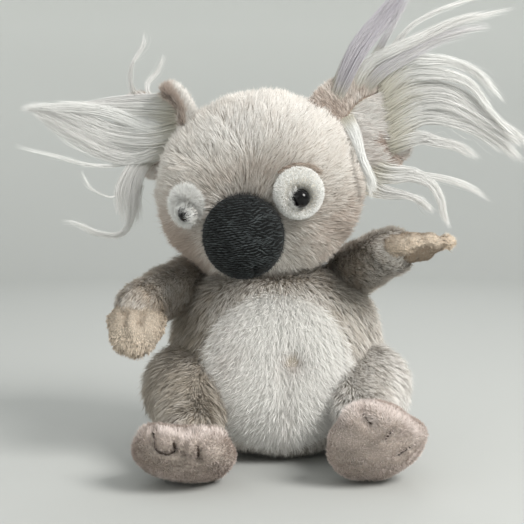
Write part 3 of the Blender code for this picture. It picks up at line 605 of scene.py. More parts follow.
NECK = joint_at("head_turn")
BODY = Form(placed((0.0, 0.0, 0.0515), (1, 0, 0), (0, 0, 1)), (0.116, 0.098, 0.104), crown=3.0, base=2.6, taper=0.04)
LEAN = Matrix.Rotation(math.radians(-12), 4, "Z") @ Euler((math.radians(5), math.radians(-7.5), 0),
    "YXZ").to_matrix().to_4x4()
HEAD_PLACE = np.array(LEAN)
HEAD_PLACE[:3, 3] = NECK + (-0.005, -0.004, 0.047)
HEAD = Form(HEAD_PLACE, (0.114, 0.096, 0.104), plan=2.3)
NOSE_SEAT = moved(HEAD_PLACE, HEAD.front(0.0, -0.020) + (0.0, -0.009, 0.0))
NOSE = Form(NOSE_SEAT, (0.042, 0.034, 0.043))
EYE_APART, EYE_DROP, EYE_DIAMETER = 0.057, 0.005, 0.0095
PATCH_SIZE = (0.026, 0.026, 0.009)
EAR_SIZE = (0.048, 0.009, 0.054)
EAR_FACES = {"left": (0.25, -0.96, 0.05), "right": (-0.75, -0.62, -0.25)}
# How far an ear's cloth is drawn out towards a corner, at which turn, how widely, and how far back
EAR_LEAVES = {
    "left": ((0.50, 60.0, 40.0, 0.004), (-0.30, -125.0, 45.0, 0.0)),
    "right": ((-0.28, 180.0, 60.0, 0.0),),
}
# The middle and the radius of the longer pile on the front of each ear
EAR_FILLS = {"left": (-0.001, -0.008, 0.021), "right": (0.003, 0.0, 0.020)}
# Where painted shadow turns the front of each ear brown: a route in its own axes in millimetres, and its width
EAR_SHADOWS = {
    "left": (((-7, 0, -8), (-4, 0, -22)), 0.0060),
    "right": (((-8.5, 0, -22), (-17.5, 0, -13), (-24, 0, -3), (-28, 0, 0)), 0.0045),
}
EAR_HEM = ((-60.0, -16.0, 195.0), (-54.0, -19.0, 193.0), (-48.0, -20.0, 184.5), (-48.5, -19.0, 175.5))
# Locks of hair: share of the hairs, widths at root, middle and tip, tone, then the route from the
# ear's middle, all in millimetres
LOCKS = {
    "left": (
        (17, (6, 10, 8), 0.14, (-21, -7, 9), (-17, -9, 21), (-10, -10, 36), (0, -10, 49), (10, -10, 61),
            (17, -10, 69)),
        (2, (1.5, 1.5, 0.6), 0.22, (0, -10, 33), (6, -12, 45), (11, -12, 54), (17, -12, 63)),
        (6, (4, 3.5, 1.2), 0.66, (-12, -5, 12), (-5, -7, 28), (7, -10, 35), (23, -10, 42), (39, -10, 50),
            (55, -10, 54), (71, -10, 57)),
        (5, (5, 6, 3), 0.34, (-8, -4, 12), (2, -7, 25), (14, -9, 33), (30, -9, 41), (46, -9, 46), (60, -9, 48)),
        (2, (1.8, 1.4, 0.7), 0.74, (-1, -3, 22), (14, -9, 45), (27, -12, 54), (42, -12, 59), (54, -12, 62)),
        (8, (6, 3, 1.4), 0.84, (4, -6, 16), (16, -7, 29), (27, -10, 30), (39, -11, 29), (51, -11, 24), (61, -11, 15),
            (67, -11, 8)),
        (10, (7, 3.6, 1.8), 0.76, (4, -6, 12), (16, -7, 23), (27, -10, 24), (39, -12, 22), (49, -12, 17),
            (56, -12, 8), (66, -12, -3), (77, -12, -11)),
        (14, (9, 7, 3.5), 0.60, (5, -6, 5), (19, -7, 14), (35, -9, 15), (47, -9, 9), (59, -9, 0), (73, -9, -9),
            (79, -9, -15)),
        (13, (9, 7, 3.5), 0.64, (6, -6, -2), (22, -6, 8), (35, -9, 8), (49, -9, 2), (63, -9, -7), (75, -9, -16)),
        (11, (8, 6, 3), 0.58, (7, -6, -8), (22, -6, 1), (35, -8, 1), (52, -8, -4), (67, -8, -14), (77, -8, -23)),
        (6, (7, 5, 2.5), 0.58, (7, -6, -14), (22, -6, -9), (31, -7, -11), (43, -7, -14), (55, -7, -21)),
        (7, (3.4, 2.2, 3.0), 0.98, (-15, -8, 2), (-11, -14, -8), (-8, -17, -20), (-3, -17, -32), (-2, -17, -41)),
        (7, (12, 4, 0.8), 0.62, (-4, -6, -24), (7, -6, -28), (19, -6, -28), (29, -7, -33), (34, -7, -41),
            (36, -7, -50), (39, -7, -57)),
        (5, (9, 3, 0.8), 0.60, (-3, -6, -33), (5, -6, -37), (16, -8, -39), (25, -8, -43), (31, -8, -49)),
        (2, (2, 1.2, 0.6), 0.66, (10, -6, -28), (22, -7, -28), (34, -7, -30), (49, -7, -35), (62, -7, -43)),
    ),
    "right": (
        (11, (5, 5, 3), 0.46, (12, -22, 15), (-5, -13, 15), (-28, -9, 13), (-48, -9, 11), (-69, -9, 12)),
        (17, (8, 6, 3), 0.60, (15, -23, 8), (0, -17, 10), (-18, -11, 11), (-35, -11, 12), (-53, -11, 12),
            (-70, -11, 12)),
        (12, (5, 4, 2), 0.88, (17, -22, -3), (-1, -17, 2), (-18, -13, 9), (-34, -13, 12), (-51, -13, 13),
            (-67, -13, 13)),
        (18, (8, 8, 2.5), 0.66, (17, -23, -1), (1, -17, -4), (-17, -12, -2), (-33, -12, 4), (-47, -12, 10),
            (-61, -12, 13)),
        (16, (8, 8, 2.5), 0.60, (16, -19, -5), (2, -16, -10), (-11, -12, -13), (-26, -12, -8), (-39, -12, -1),
            (-53, -12, 6), (-62, -12, 11)),
        (10, (5, 4, 2), 0.78, (14, -16, -8), (3, -13, -13), (-9, -11, -16), (-23, -11, -13), (-37, -11, -6),
            (-48, -11, 0), (-58, -11, 6)),
        (1.2, (1, 0.8, 0.4), 0.88, (-1, -10, -15), (-13, -11, -18), (-23, -11, -19), (-34, -13, -18), (-47, -13, -14),
            (-62, -13, -10), (-72, -13, -7)),
        (6, (5, 14, 12), 0.52, (3, -12, -10), (-6, -12, -20), (-10, -13, -32), (-10, -13, -43), (-11, -13, -52)),
        (2.5, (3, 1.8, 0.8), 0.74, (-8, -12, -30), (-9, -12, -44), (-12, -11, -54), (-18, -13, -57), (-29, -13, -55),
            (-38, -13, -50), (-47, -13, -49)),
        (0.4, (0.8, 0.6, 0.3), 0.70, (-5, -10, -24), (-16, -12, -32), (-19, -15, -36), (-29, -15, -32),
            (-33, -15, -27), (-36, -15, -21)),
        (0.7, (1.6, 1, 0.5), 0.50, (-6, -4, 12), (-10, -5, 25), (-8, -8, 36), (-4, -8, 42), (-1, -8, 49),
            (-2, -8, 54)),
        (0.5, (1.4, 0.8, 0.4), 0.50, (3, -12, 12), (-1, -8, 24), (5, -7, 31), (8, -7, 38), (9, -7, 42)),
    ),
}
# Nap length and lift of each eye pad, and the hairs across each eye: from and to which turn, count, length
PAD_NAPS = {"left": (0.0011, 1.10), "right": (0.0046, 0.75)}
EYE_VEILS = {"left": (110, 250, 110, 0.0040), "right": (-40, 200, 420, 0.0056)}
EYE_RISES = {"left": 0.0036, "right": 0.0024}
NOSE_DART = ((7.0, -14.0, -10.5), (5.5, -10.0, -15.5), (3.6, -4.0, -21.0))
# Tone of each sleeve, where and over what width painted shade turns it brown towards the body, and how brown its cuff
# is
SLEEVE_SHADES = {"left": (0.62, 0.053, 0.014, 0.0), "right": (0.50, 0.074, 0.030, 0.20)}
PAW_FOLDS = {
    "left": (((-7, -6.5, -12), (-12, -5, -3), (-10, -3.5, 6)),),
    "right": (((-6.5, 10.0, -2), (-3.0, 10.6, -1.5), (-3.0, 10.6, 3.5)), ((5.6, 9.8, -3), (4.8, 10.0, 3.0))),
}
PAW_BAND = ((-7.6, -3.3, -13.8), (-15.1, -1.2, 2.5), (-12.0, 1.0, 9.0), (-8.0, 2.0, 14.5))
# Rises and dips of each foot: the middle and the reach in metres, and the height
FOOT_LOBES = {
    "left": (
        ((0.004, -0.022, -0.0055), (0.012, 0.005, 0.0035), 0.0020),
        ((-0.015, -0.020, 0.002), (0.007, 0.008, 0.006), 0.0024),
        ((0.0, 0.0, -0.012), (0.016, 0.014, 0.006), 0.0015),
        ((-0.010, -0.021, -0.005), (0.004, 0.004, 0.003), -0.0012),
    ),
    "right": (
        ((-0.015, -0.017, 0.008), (0.008, 0.009, 0.007), 0.0026),
        ((0.018, -0.012, 0.008), (0.008, 0.011, 0.008), 0.0026),
        ((0.004, -0.024, 0.006), (0.009, 0.007, 0.006), -0.0018),
        ((-0.005, -0.0255, -0.001), (0.006, 0.005, 0.0045), 0.0022),
        ((0.008, -0.0245, -0.002), (0.005, 0.005, 0.004), 0.0018),
    ),
}
# Seams of each foot: the route in millimetres, its width, its depth, and whether a dark thread shows
FOOT_SEAMS = {
    "left": (
        (((-12.8, -23.0, -0.7), (-11.5, -22.3, -3.9), (-9.1, -20.7, -6.9)), 0.0026, 0.0036, True),
        (((2.0, -20.2, -8.4), (-0.2, -17.2, -9.9), (-1.7, -14.1, -10.9)), 0.0017, 0.0026, True),
        (((16.6, -7.3, -9.1), (11.8, -5.7, -11.1), (7.0, -3.1, -12.3)), 0.0017, 0.0026, True),
    ),
    "right": (
        (((-11.9, -20.6, 5.6), (-10.0, -24.7, 0.5), (-8.7, -24.1, -3.6), (-4.0, -24.5, -5.5), (0.9, -24.7, -5.2)),
            0.0019, 0.0030, True),
        (((0.2, -27.0, -0.2), (0.9, -24.7, -5.2)), 0.0016, 0.0026, True),
        (((11.6, -23.8, -0.9), (11.8, -21.5, -4.5), (11.2, -18.1, -7.6)), 0.0018, 0.0028, True),
        (((5.1, -25.8, -2.5), (4.9, -23.0, -6.1)), 0.0015, 0.0018, False),
        (((0.9, -24.7, -5.2), (6.0, -22.8, -6.8), (11.2, -18.1, -7.6)), 0.0018, 0.0022, False),
        (((-0.3, -16.0, -10.4), (5.0, -17.0, -9.5), (10.2, -17.3, -8.4)), 0.0008, 0.0007, False),
    ),
}
# From which place across a foot, over what width and by how much its toes' end is drawn back
FOOT_CUTS = {"left": (-0.006, 0.024, 0.0075), "right": (0.0, 0.010, 0.0)}
FOOT_RIDGES = {
    "left": ((-17, -18, 3), (-11.3, -24, 0.1), (-6.3, -23.9, -4.9), (4.4, -22.7, -6.5), (13.0, -18.1, -6.8),
        (18.3, -10.7, -7.2)),
    "right": ((-22, -8, 6), (-15.9, -19.2, 8.7), (-4, -24, 6), (5.7, -24.7, 4.3), (14, -18, 8), (19, -10, 9)),
}
ARM_RADII = (0.0150, 0.0140)
LEG_RADII = (0.0260, 0.0130)
PAW_SIZE = (0.031, 0.021, 0.034)
PAW_REACH = 0.017
PAW_WAYS = {"left": ((0.93, -0.26, 0.16), (0.25, 0.90, -0.20)),
    "right": ((-0.22, -0.42, -0.88), (0.97, -0.20, -0.10))}
FOOT_SIZE = (0.050, 0.054, 0.026)
FOOT_TURNS = {"left": (52.0, 14.0, 0.24), "right": (26.0, 8.0, 0.40)}
ANKLE_LIFT = 0.0145
BELLY_SIZE = (0.076, 0.084)
BELLY_HEIGHT = 0.0505
HOLLOW, PARTING = (0.0072, 0.0566), 0.0047


def eye_place(side):
    """A placement on the face at one eye, with Z out of the face."""
    aside, height, step = HANDS[side] * EYE_APART / 2, -EYE_DROP, 1e-4
    across = HEAD.front(aside + step, height) - HEAD.front(aside - step, height)
    upward = HEAD.front(aside, height + step) - HEAD.front(aside, height - step)
    out = HEAD_PLACE[:3, :3] @ unit(np.cross(across, upward))
    return placed(HEAD.out(HEAD.front(aside, height)), np.cross((0, 0, 1), out), out)


def ear_place(side):
    """A placement in the middle of an ear, with X outward, Y to its back and Z along its root."""
    joint = JOINTS["ear_fold_" + side]
    back = -unit(np.array(EAR_FACES[side]))
    axis = unit(np.array(joint["axis"], float))
    outward = np.cross(back, axis)
    place = np.eye(4)
    place[:3, 0], place[:3, 1], place[:3, 2] = outward, back, axis
    place[:3, 3] = joint_at("ear_fold_" + side) + outward * (EAR_SIZE[0] / 2 - 0.013)
    return place


def foot_place(side):
    """A placement in the middle of a foot, with Y to its heel and Z out of its top."""
    pitch, splay, heel = FOOT_TURNS[side]
    turn = Matrix.Rotation(HANDS[side] * math.radians(splay), 4, "Z") @ Matrix.Rotation(-math.radians(pitch), 4, "X")
    place = np.array(turn)
    place[:3, 3] = joint_at("ankle_" + side) - place[:3, :3] @ (0.0, FOOT_SIZE[1] / 2 * heel, ANKLE_LIFT)
    return place


def paw_place(side):
    """A placement in the middle of a paw, with Z towards its fingers."""
    way, across = PAW_WAYS[side]
    return placed(joint_at("wrist_" + side) + unit(np.array(way)) * PAW_REACH, across, way)


EYES = {side: eye_place(side) for side in SIDES}
EARS = {side: ear_place(side) for side in SIDES}
FEET = {side: Form(foot_place(side), FOOT_SIZE) for side in SIDES}
PAWS = {side: Form(paw_place(side), PAW_SIZE) for side in SIDES}
PADS = {
    "left": Form(moved(EYES["left"], (-0.0003, 0.0024, 0.0)), PATCH_SIZE),
    "right": Form(moved(EYES["right"], (-0.0012, 0.0034, -0.0006)), (0.0140, 0.0170, 0.0084)),
}
MITTS = {
    "left": Form(moved(PAWS["left"].place, (0.0, 0.0, -0.0035)), (0.028, 0.0155, 0.038), taper=0.48),
    "right": Form(moved(PAWS["right"].place, (0.0008, 0.0010, -0.0058)), (0.0300, 0.0230, 0.0340)),
}


def hidden(points, *forms, grow=-0.002):
    """Where points lie inside any of the forms."""
    inside = np.zeros(len(points), bool)
    for form in forms:
        inside |= form.level(points, grow) < 1.0
    return inside


def in_balls(points, balls):
    """Where points lie inside any of the balls, each a centre and a radius."""
    inside = np.zeros(len(points), bool)
    for centre, radius in balls:
        inside |= np.linalg.norm(points - centre, axis=-1) < radius
    return inside


# Pieces

class KOALA_OT_stage(Operator):
    """Makes the room, the lights and the camera"""

    bl_idname = "koala.stage"
    bl_label = "Stage"

    def execute(self, context):
        stage = context.scene.koala_stage
        # A floor that rises into a round wall: radius and height are carried once round
        bend = np.linspace(0, math.pi / 2, 24)
        radius = np.concatenate([[0.0, 0.3, 0.6, 0.9], 1.1 + 0.5 * np.sin(bend), [1.6]])
        height = np.concatenate([[0.0] * 4, 0.5 - 0.5 * np.cos(bend), [1.1]])
        turn = np.linspace(0, 2 * math.pi, 96, endpoint=False)
        ring = np.stack([np.cos(turn), np.sin(turn)], -1)
        rings = np.concatenate(
            [radius[1:, None, None] * ring[None],
                np.broadcast_to(height[1:, None, None], (len(radius) - 1, 96, 1))], -1
        )
        points = np.concatenate([np.zeros((1, 3)), rings.reshape(-1, 3)])
        i = np.arange(96)
        after = (i + 1) % 96
        rows = 1 + 96 * np.arange(len(radius) - 2)[:, None]
        quads = np.stack([rows + i, rows + after, rows + 96 + after, rows + 96 + i], -1).reshape(-1, 4)
        fan = np.stack([np.zeros(96, int), 1 + i, 1 + after], -1)
        quads = quads[:, ::-1]
        corners = np.concatenate([quads.ravel(), fan.ravel()])
        starts = np.concatenate([np.arange(len(quads)) * 4, len(quads) * 4 + np.arange(96) * 3])
        room = put_mesh("studio_room", points, corners, starts, np.zeros((len(corners), 2)))
        wall, shader, tree = shader_of("Studio wall", 0.95)
        place = tree.nodes.new("ShaderNodeTexCoord")
        split = tree.nodes.new("ShaderNodeSeparateXYZ")
        mix = node(tree, "ShaderNodeMix", data_type="RGBA")
        rise = node(tree, "ShaderNodeMapRange", clamp=True)
        rise.inputs["From Max"].default_value = 0.45
        mix.inputs["A"].default_value = (0.50, 0.51, 0.495, 1.0)
        mix.inputs["B"].default_value = (0.72, 0.735, 0.715, 1.0)
        tree.links.new(place.outputs["Object"], split.inputs[0])
        tree.links.new(split.outputs["Z"], rise.inputs["Value"])
        tree.links.new(rise.outputs["Result"], mix.inputs["Factor"])
        tree.links.new(mix.outputs["Result"], shader.inputs["Base Color"])
        room.data.materials.append(wall)

        world = bpy.data.worlds.new("Room light")
        world.use_nodes = True
        world.node_tree.nodes["Background"].inputs["Color"].default_value = (0.98, 1.0, 0.99, 1.0)
        world.node_tree.nodes["Background"].inputs["Strength"].default_value = stage.room
        context.scene.world = world
        lamps = (
            ("key", (0.72, -0.66, 0.86), 0.55, stage.key_watts, (1.0, 0.985, 0.96)),
            ("fill", (-0.95, -0.70, 0.45), 0.9, stage.fill_watts, (0.97, 0.98, 1.0)),
            ("back", (0.10, 0.95, 0.95), 0.7, stage.back_watts, (1.0, 1.0, 1.0)),
        )
        for name, at, size, watts, tint in lamps:
            light = bpy.data.lights.new(name, "AREA")
            light.shape, light.size, light.energy, light.color = "DISK", size, watts, tint
            lamp = bpy.data.objects.new(name, light)
            lamp.location = at
            aim = Matrix.Translation(at).to_translation() * -1
            aim.z += 0.10
            lamp.rotation_euler = aim.to_track_quat("-Z", "Y").to_euler()
            context.scene.collection.objects.link(lamp)

        data = bpy.data.cameras.new("camera")
        data.lens, data.sensor_width, data.clip_start = stage.lens, 36.0, 0.01
        camera = bpy.data.objects.new("camera", data)
        rise = stage.elevation
        camera.location = (
            stage.aim[0],
            stage.aim[1] - stage.distance * math.cos(rise),
            stage.aim[2] + stage.distance * math.sin(rise),
        )
        camera.rotation_euler = (math.pi / 2 - rise, 0.0, 0.0)
        context.scene.collection.objects.link(camera)
        context.scene.camera = camera
        context.scene.view_settings.view_transform = "Standard"
        return {"FINISHED"}


def plush(name="Plush pile"):
    """The beige-grey pile of the head, the body and the limbs."""
    found = bpy.data.materials.get(name)
    if found:
        return found
    c = colours()
    return pile_material(name, c.plush_root, c.plush_deep, c.plush_middle, c.plush_pale)


def white_pile(name="White pile"):
    found = bpy.data.materials.get(name)
    if found:
        return found
    return pile_material(name, (0.84, 0.80, 0.74), (0.68, 0.61, 0.57), (0.90, 0.88, 0.85), colours().white, 0.4)


def plush_ground(name="Plush ground"):
    found = bpy.data.materials.get(name)
    return found or ground_material(name, (0.34, 0.29, 0.23), (0.52, 0.47, 0.40))


def white_ground(name="White ground"):
    found = bpy.data.materials.get(name)
    return found or ground_material(name, (0.60, 0.56, 0.48), (0.76, 0.73, 0.66))


def shade_tone(points, seed, base=0.5, broad=0.10, fine=0.10, rand=0.10):
    """A tone for each hair: its base, broad and fine waves over the piece, and its own chance."""
    rng = np.random.default_rng(seed)
    tone = base + broad * waves(points, 0.040, seed) + fine * waves(points, 0.007, seed + 1)
    return tone + rng.normal(0, rand, len(points))


def in_batches(name, body, slot, material, path, out, width, tone, seed, limit=60000, **kwargs):
    """The hairs as pieces of at most limit hairs each."""
    parts = max(1, math.ceil(len(path) / limit))
    made = []
    for i in range(parts):
        piece = strands(
            f"{name}_{i + 1}" if parts > 1 else name,
            path[i::parts],
            out[i::parts],
            width,
            (1.0, 0.8),
            tone[i::parts],
            seed=seed + i,
            **kwargs,
        )
        made.append(dress(piece, material, body))
    return made


LIMB_BALLS = [(joint_at("shoulder_" + s), 0.0135) for s in SIDES] + [(joint_at("hip_" + s), 0.0240) for s in SIDES]


class KOALA_OT_body(Operator):
    """Makes the body's cloth and its pile, combed down from the neck"""

    bl_idname = "koala.body"
    bl_label = "Body"

    def execute(self, context):
        s = sizes()
        form = Form(BODY.place, BODY.half * 2, BODY.plan, BODY.crown, BODY.base, BODY.taper, grow=-s.pile_inset)
        grid = form.grid()
        grid = raised(grid, 0.0010 * waves(grid, 0.035, 11))
        grid[..., 2] = np.maximum(grid[..., 2], 0.0004)
        dress(
            skin("body_cloth", grid),
            plush_ground(),
            "root",
            ("body_cover", "body_stuffing", "bean_bag", "neck_ball"),
        )
        roots, normals = scatter(grid, s.body_hairs, 21)
        keep = ~hidden(roots, HEAD, grow=-0.004) & ~in_balls(roots, LIMB_BALLS) & (roots[:, 2] > 0.002)
        keep &= ~(on_belly(roots, 0.92) & (roots[:, 1] < 0))
        roots, normals = roots[keep], normals[keep]
        flow = np.stack([roots[:, 0] * 4.0, roots[:, 1] * 4.0, np.full(len(roots), -1.0)], -1)
        floor = ease((0.020 - roots[:, 2]) / 0.02)
        flow[:, 2] += floor * 1.2
        path = combed(roots, normals, flow, s.body_pile, 0.66, clump=0.0011, clump_size=0.0050, seed=22)
        path[..., 2] = np.maximum(path[..., 2], 0.0003)
        # Painted shade: the pile darkens on the body's -X side, from 26 mm out.
        tone = shade_tone(roots, 23, 0.50) - 0.46 * ease((-roots[:, 0] - 0.026) / 0.020)
        in_batches("body_pile", "root", "plush", plush(), path, normals, s.hair_width, tone, 24)
        return {"FINISHED"}


def on_belly(points, share=1.0):
    """Where points face the belly's oval."""
    x = points[:, 0] / (BELLY_SIZE[0] / 2 * share)
    z = (points[:, 2] - BELLY_HEIGHT) / (BELLY_SIZE[1] / 2 * share)
    return x * x + z * z < 1.0


class KOALA_OT_belly(Operator):
    """Makes the white belly, with its hollow and the parting below it"""

    bl_idname = "koala.belly"
    bl_label = "Belly"

    def execute(self, context):
        s = sizes()
        # A closed lens: rings from the middle of the front to the rim, and back behind it
        rows, columns = 72, 120
        reach = np.concatenate([np.linspace(0, 1, rows * 2 // 3) ** 0.8,
            np.linspace(1, 0, rows - rows * 2 // 3 + 1)[1:]])
        behind = np.concatenate([np.zeros(rows * 2 // 3), np.ones(rows - rows * 2 // 3)])
        turn = np.linspace(0, 2 * math.pi, columns, endpoint=False)
        x = BELLY_SIZE[0] / 2 * reach[:, None] * np.cos(turn)[None]
        z = BELLY_HEIGHT + BELLY_SIZE[1] / 2 * reach[:, None] * np.sin(turn)[None]
        front = BODY.out(BODY.front(x, z - BODY.place[2, 3]))
        crown = (1 - reach[:, None] ** 4) * 0.0010 - s.pile_inset
        hollow = 0.0052 * np.exp(-((x - HOLLOW[0]) / 0.0068) ** 2 - ((z - HOLLOW[1]) / 0.0072) ** 2)
        part = 0.0022 * np.exp(-((x - PARTING) / 0.0020) ** 2) * ease((0.054 - z) / 0.012) * ease((z - 0.020) / 0.01)
        depth = np.where(behind[:, None] > 0, -s.pile_inset - 0.0040 * (1 - reach[:, None] ** 2),
            crown - hollow - part)
        out = BODY.place[:3, 3] * (0, 0, 1)
        way = unit(front - np.stack([x * 0.4, np.zeros_like(x), np.full_like(x, out[2])], -1))
        grid = front + way * depth[..., None]
        dress(skin("belly_cloth", grid), white_ground(), "root", ("belly_panel",))
        roots, normals = scatter(grid[: rows * 2 // 3], s.belly_hairs, 31, grid_normals(grid)[: rows * 2 // 3])
        keep = ~hidden(roots, HEAD, grow=-0.004) & ~in_balls(roots, LIMB_BALLS)
        roots, normals = roots[keep], normals[keep]
        aside = (roots[:, 0] - PARTING) / 0.020
        low = ease((0.060 - roots[:, 2]) / 0.030)
        flow = np.stack([aside * (0.35 + 1.1 * low), np.full(len(roots), -0.2),
            -1.0 + 0.45 * low * np.exp(-aside**2)], -1)
        spread = bump_at(roots[:, (0, 2)], HOLLOW, (0.0085, 0.0085))
        away = np.stack([roots[:, 0] - HOLLOW[0], np.zeros(len(roots)), roots[:, 2] - HOLLOW[1]], -1)
        flow = unit(flow) + unit(away) * spread[:, None] * 0.5
        lift = 0.54 + 0.20 * spread
        length = s.belly_pile * (1 - 0.30 * spread)
        path = combed(roots, normals, flow, length, lift, clump=0.0005, clump_size=0.0042, seed=32, stray=0.34)
        parted = np.exp(-(((roots[:, 0] - PARTING) / 0.0022) ** 2)) * ease((0.050 - roots[:, 2]) / 0.01)
        # Painted shade, tinted lilac, on the belly's upper -X side.
        lilac_shade = bump_at(roots[:, (0, 2)], (-0.025, 0.062), (0.012, 0.024))
        # Painted shade: the tone drops where spread is high, in the navel's hollow.
        tone = shade_tone(roots, 33, 0.86, 0.06, 0.06, 0.07) - 0.75 * spread - 0.30 * parted - 0.44 * lilac_shade
        in_batches("belly_pile", "root", "white_plush", white_pile(), path, normals, s.hair_width * 0.78, tone, 34)
        return {"FINISHED"}


class KOALA_OT_head(Operator):
    """Makes the head's cloth and its pile, combed away from the nose"""

    bl_idname = "koala.head"
    bl_label = "Head"

    def execute(self, context):
        s = sizes()
        form = Form(HEAD.place, HEAD.half * 2, HEAD.plan, grow=-s.pile_inset)
        grid = form.grid()
        grid = raised(grid, 0.0009 * waves(grid, 0.032, 41))
        dress(skin("head_cloth", grid), plush_ground(), "head", ("head_cover", "head_stuffing"))
        roots, normals = scatter(grid, s.head_hairs, 42)
        keep = ~hidden(roots, BODY, grow=-0.010) & ~hidden(roots, NOSE, *PADS.values(), grow=-0.0015)
        keep &= ~in_balls(roots, [(NECK, 0.024)])
        roots, normals = roots[keep], normals[keep]
        source = NOSE.out(np.array([0.0, 0.014, 0.010]))
        local = HEAD.own(roots)
        flow = unit(roots - source)
        behind = ease((local[:, 1] - 0.002) / 0.030)[:, None]
        flow = flow * (1 - behind) + np.array((0.0, 0.15, -1.0)) * behind
        flow = flow + 0.30 * slopes(roots, 0.022, 47) + 0.16 * slopes(roots, 0.009, 48)
        muzzle = bump_at(local, (0.0, -0.046, -0.030), (0.026, 0.030, 0.014))
        brows = bump_at(local, (0.004, -0.046, 0.009), (0.021, 0.040, 0.010))
        length = s.head_pile * (1 - 0.30 * muzzle)
        path = combed(roots, normals, flow, length, 0.55, clump=0.0006, clump_size=0.0036, seed=43, stray=0.16)
        crown = ease((local[:, 2] - 0.012) / 0.035)
        tone = shade_tone(roots, 44, 0.56, 0.06, 0.07, 0.10) + 0.22 * muzzle - 0.06 * crown - 0.34 * brows
        upper = bump_at(local, (0.004, -0.046, 0.030), (0.034, 0.060, 0.016))
        # Painted shade: left and right darken the lower outer cheeks, the cheek at -X most.
        left, right = (bump_at(local, (hand * 0.043, -0.022, -0.024), (0.018, 0.040, 0.022)) for hand in (1, -1))
        tone += 0.36 * upper - 0.46 * left - 0.85 * right
        in_batches("head_pile", "head", "plush", face_pile(), path, normals, s.hair_width * 0.85, tone, 45)
        return {"FINISHED"}


class KOALA_OT_eyes(Operator):
    """Makes the padded eye patches with their short pile, the glossy eyes and the hairs that cross them"""

    bl_idname = "koala.eyes"
    bl_label = "Eyes"

    def execute(self, context):
        s = sizes()
        gloss, shader, tree = shader_of("Eye gloss", 0.10)
        shader.inputs["Base Color"].default_value = (0.002, 0.0015, 0.002, 1.0)
        shader.inputs["Specular IOR Level"].default_value = 0.30
        felt = pile_material("Pad pile", (0.76, 0.74, 0.70), (0.76, 0.74, 0.70), (0.88, 0.87, 0.85),
            (0.94, 0.94, 0.92), 0.5)
        for side in SIDES:
            place, patch = EYES[side], PADS[side]
            nap, lift = PAD_NAPS[side]
            grid = patch.grid(40, 64)
            away = np.linalg.norm(grid - place[:3, 3] - place[:3, 2] * PATCH_SIZE[2] / 2, axis=-1)
            pit = 0.0036 * np.exp(-((away / 0.0056) ** 4)) - 0.0010 * np.exp(-(((away - 0.0088) / 0.0030) ** 2))
            grid = raised(grid, -0.0006 - pit * (patch.own(grid)[..., 2] > 0))
            dress(skin("eye_pad_" + side, grid), white_ground(), "head", ("eye_patch_" + side,))
            roots, normals = scatter(grid, 15000, 51 + len(side))
            off = roots - place[:3, 3]
            off = off - (off @ place[:3, 2])[:, None] * place[:3, 2]
            keep = (patch.own(roots)[:, 2] > 0.0) & (np.linalg.norm(off, axis=-1) > EYE_DIAMETER * 0.42)
            roots, normals, off = roots[keep], normals[keep], off[keep]
            flow = off if side == "left" else unit(off) * 1.0 + (0.15, 0.0, -0.50)
            path = combed(roots, normals, flow, nap, lift, clump=nap * 0.16, clump_size=0.003, seed=52, stray=0.25)
            tone = shade_tone(roots, 53, 0.86 if side == "right" else 0.78, 0.03, 0.04, 0.05)
            in_batches("eye_nap_" + side, "head", "white_plush", felt, path, normals, s.hair_width * 0.85, tone, 54)
            ball = Form(moved(place, (0, 0, EYE_RISES[side])), (EYE_DIAMETER,) * 3)
            dress(skin("eye_ball_" + side, ball.grid(32, 48)), gloss, "head", ("eye_" + side,))
            frame["nodes"]["eye_washer_" + side].data.materials.clear()
            frame["nodes"]["eye_washer_" + side].data.materials.append(plastic())
            self.across(side, felt)
        self.brow()
        return {"FINISHED"}

    def across(self, side, felt):
        """White hairs of the pad that lie over the eye's edge."""
        place = EYES[side]
        low, high, count, length = EYE_VEILS[side]
        rng = np.random.default_rng(55)
        turn = np.radians(rng.uniform(low, high, count))
        ring = np.cos(turn)[:, None] * place[:3, 0] + np.sin(turn)[:, None] * place[:3, 1]
        reach = rng.uniform(0.0048, 0.0082, (count, 1))
        roots = place[:3, 3] + ring * reach + place[:3, 2] * 0.0040
        normals = np.broadcast_to(place[:3, 2], roots.shape)
        path = combed(roots, normals, -ring - 0.4 * place[:3, 1], length, 0.95, bow=1.0, seed=56, spans=3, stray=0.35)
        tone = 0.85 + rng.normal(0, 0.08, count)
        piece = strands("eye_veil_" + side, path, normals, 0.00017, (1.0, 0.8, 0.5), tone, seed=57)
        dress(piece, felt, "head")

    def brow(self):
        """Brown hairs of the face that bend over the upper edge of the left pad."""
        place = PADS["left"].place
        rng = np.random.default_rng(58)
        turn = np.radians(rng.uniform(48, 138, 420))
        ring = np.cos(turn)[:, None] * place[:3, 0] + np.sin(turn)[:, None] * place[:3, 1]
        reach = rng.uniform(0.0128, 0.0148, (len(turn), 1))
        roots = place[:3, 3] + ring * reach - place[:3, 2] * 0.0015
        normals = np.broadcast_to(place[:3, 2], roots.shape)
        path = combed(roots, normals, place[:3, 0] * 1.0 - ring * 0.30, 0.0046, 0.60, bow=0.8, clump=0.0006, seed=59,
            stray=0.25)
        tone = 0.10 + rng.normal(0, 0.10, len(turn))
        dark = pile_material("Brow pile", (0.26, 0.19, 0.15), (0.32, 0.24, 0.19), (0.60, 0.52, 0.45),
            (0.80, 0.75, 0.70))
        in_batches("brow_hair", "head", "plush", dark, path, normals, 0.00026, tone + 0.22, 60)


def face_pile(name="Face pile"):
    """The head's pile, warmer than the body's where it is dark."""
    found = bpy.data.materials.get(name)
    c = colours()
    return found or pile_material(name, (0.46, 0.40, 0.35), (0.52, 0.43, 0.37), c.plush_middle, c.plush_pale)


def plastic(name="Washer plastic"):
    found = bpy.data.materials.get(name)
    return found or ground_material(name, (0.62, 0.62, 0.60), (0.72, 0.72, 0.70), 300.0, 40.0, 0.0001, 0.45, 0.0)


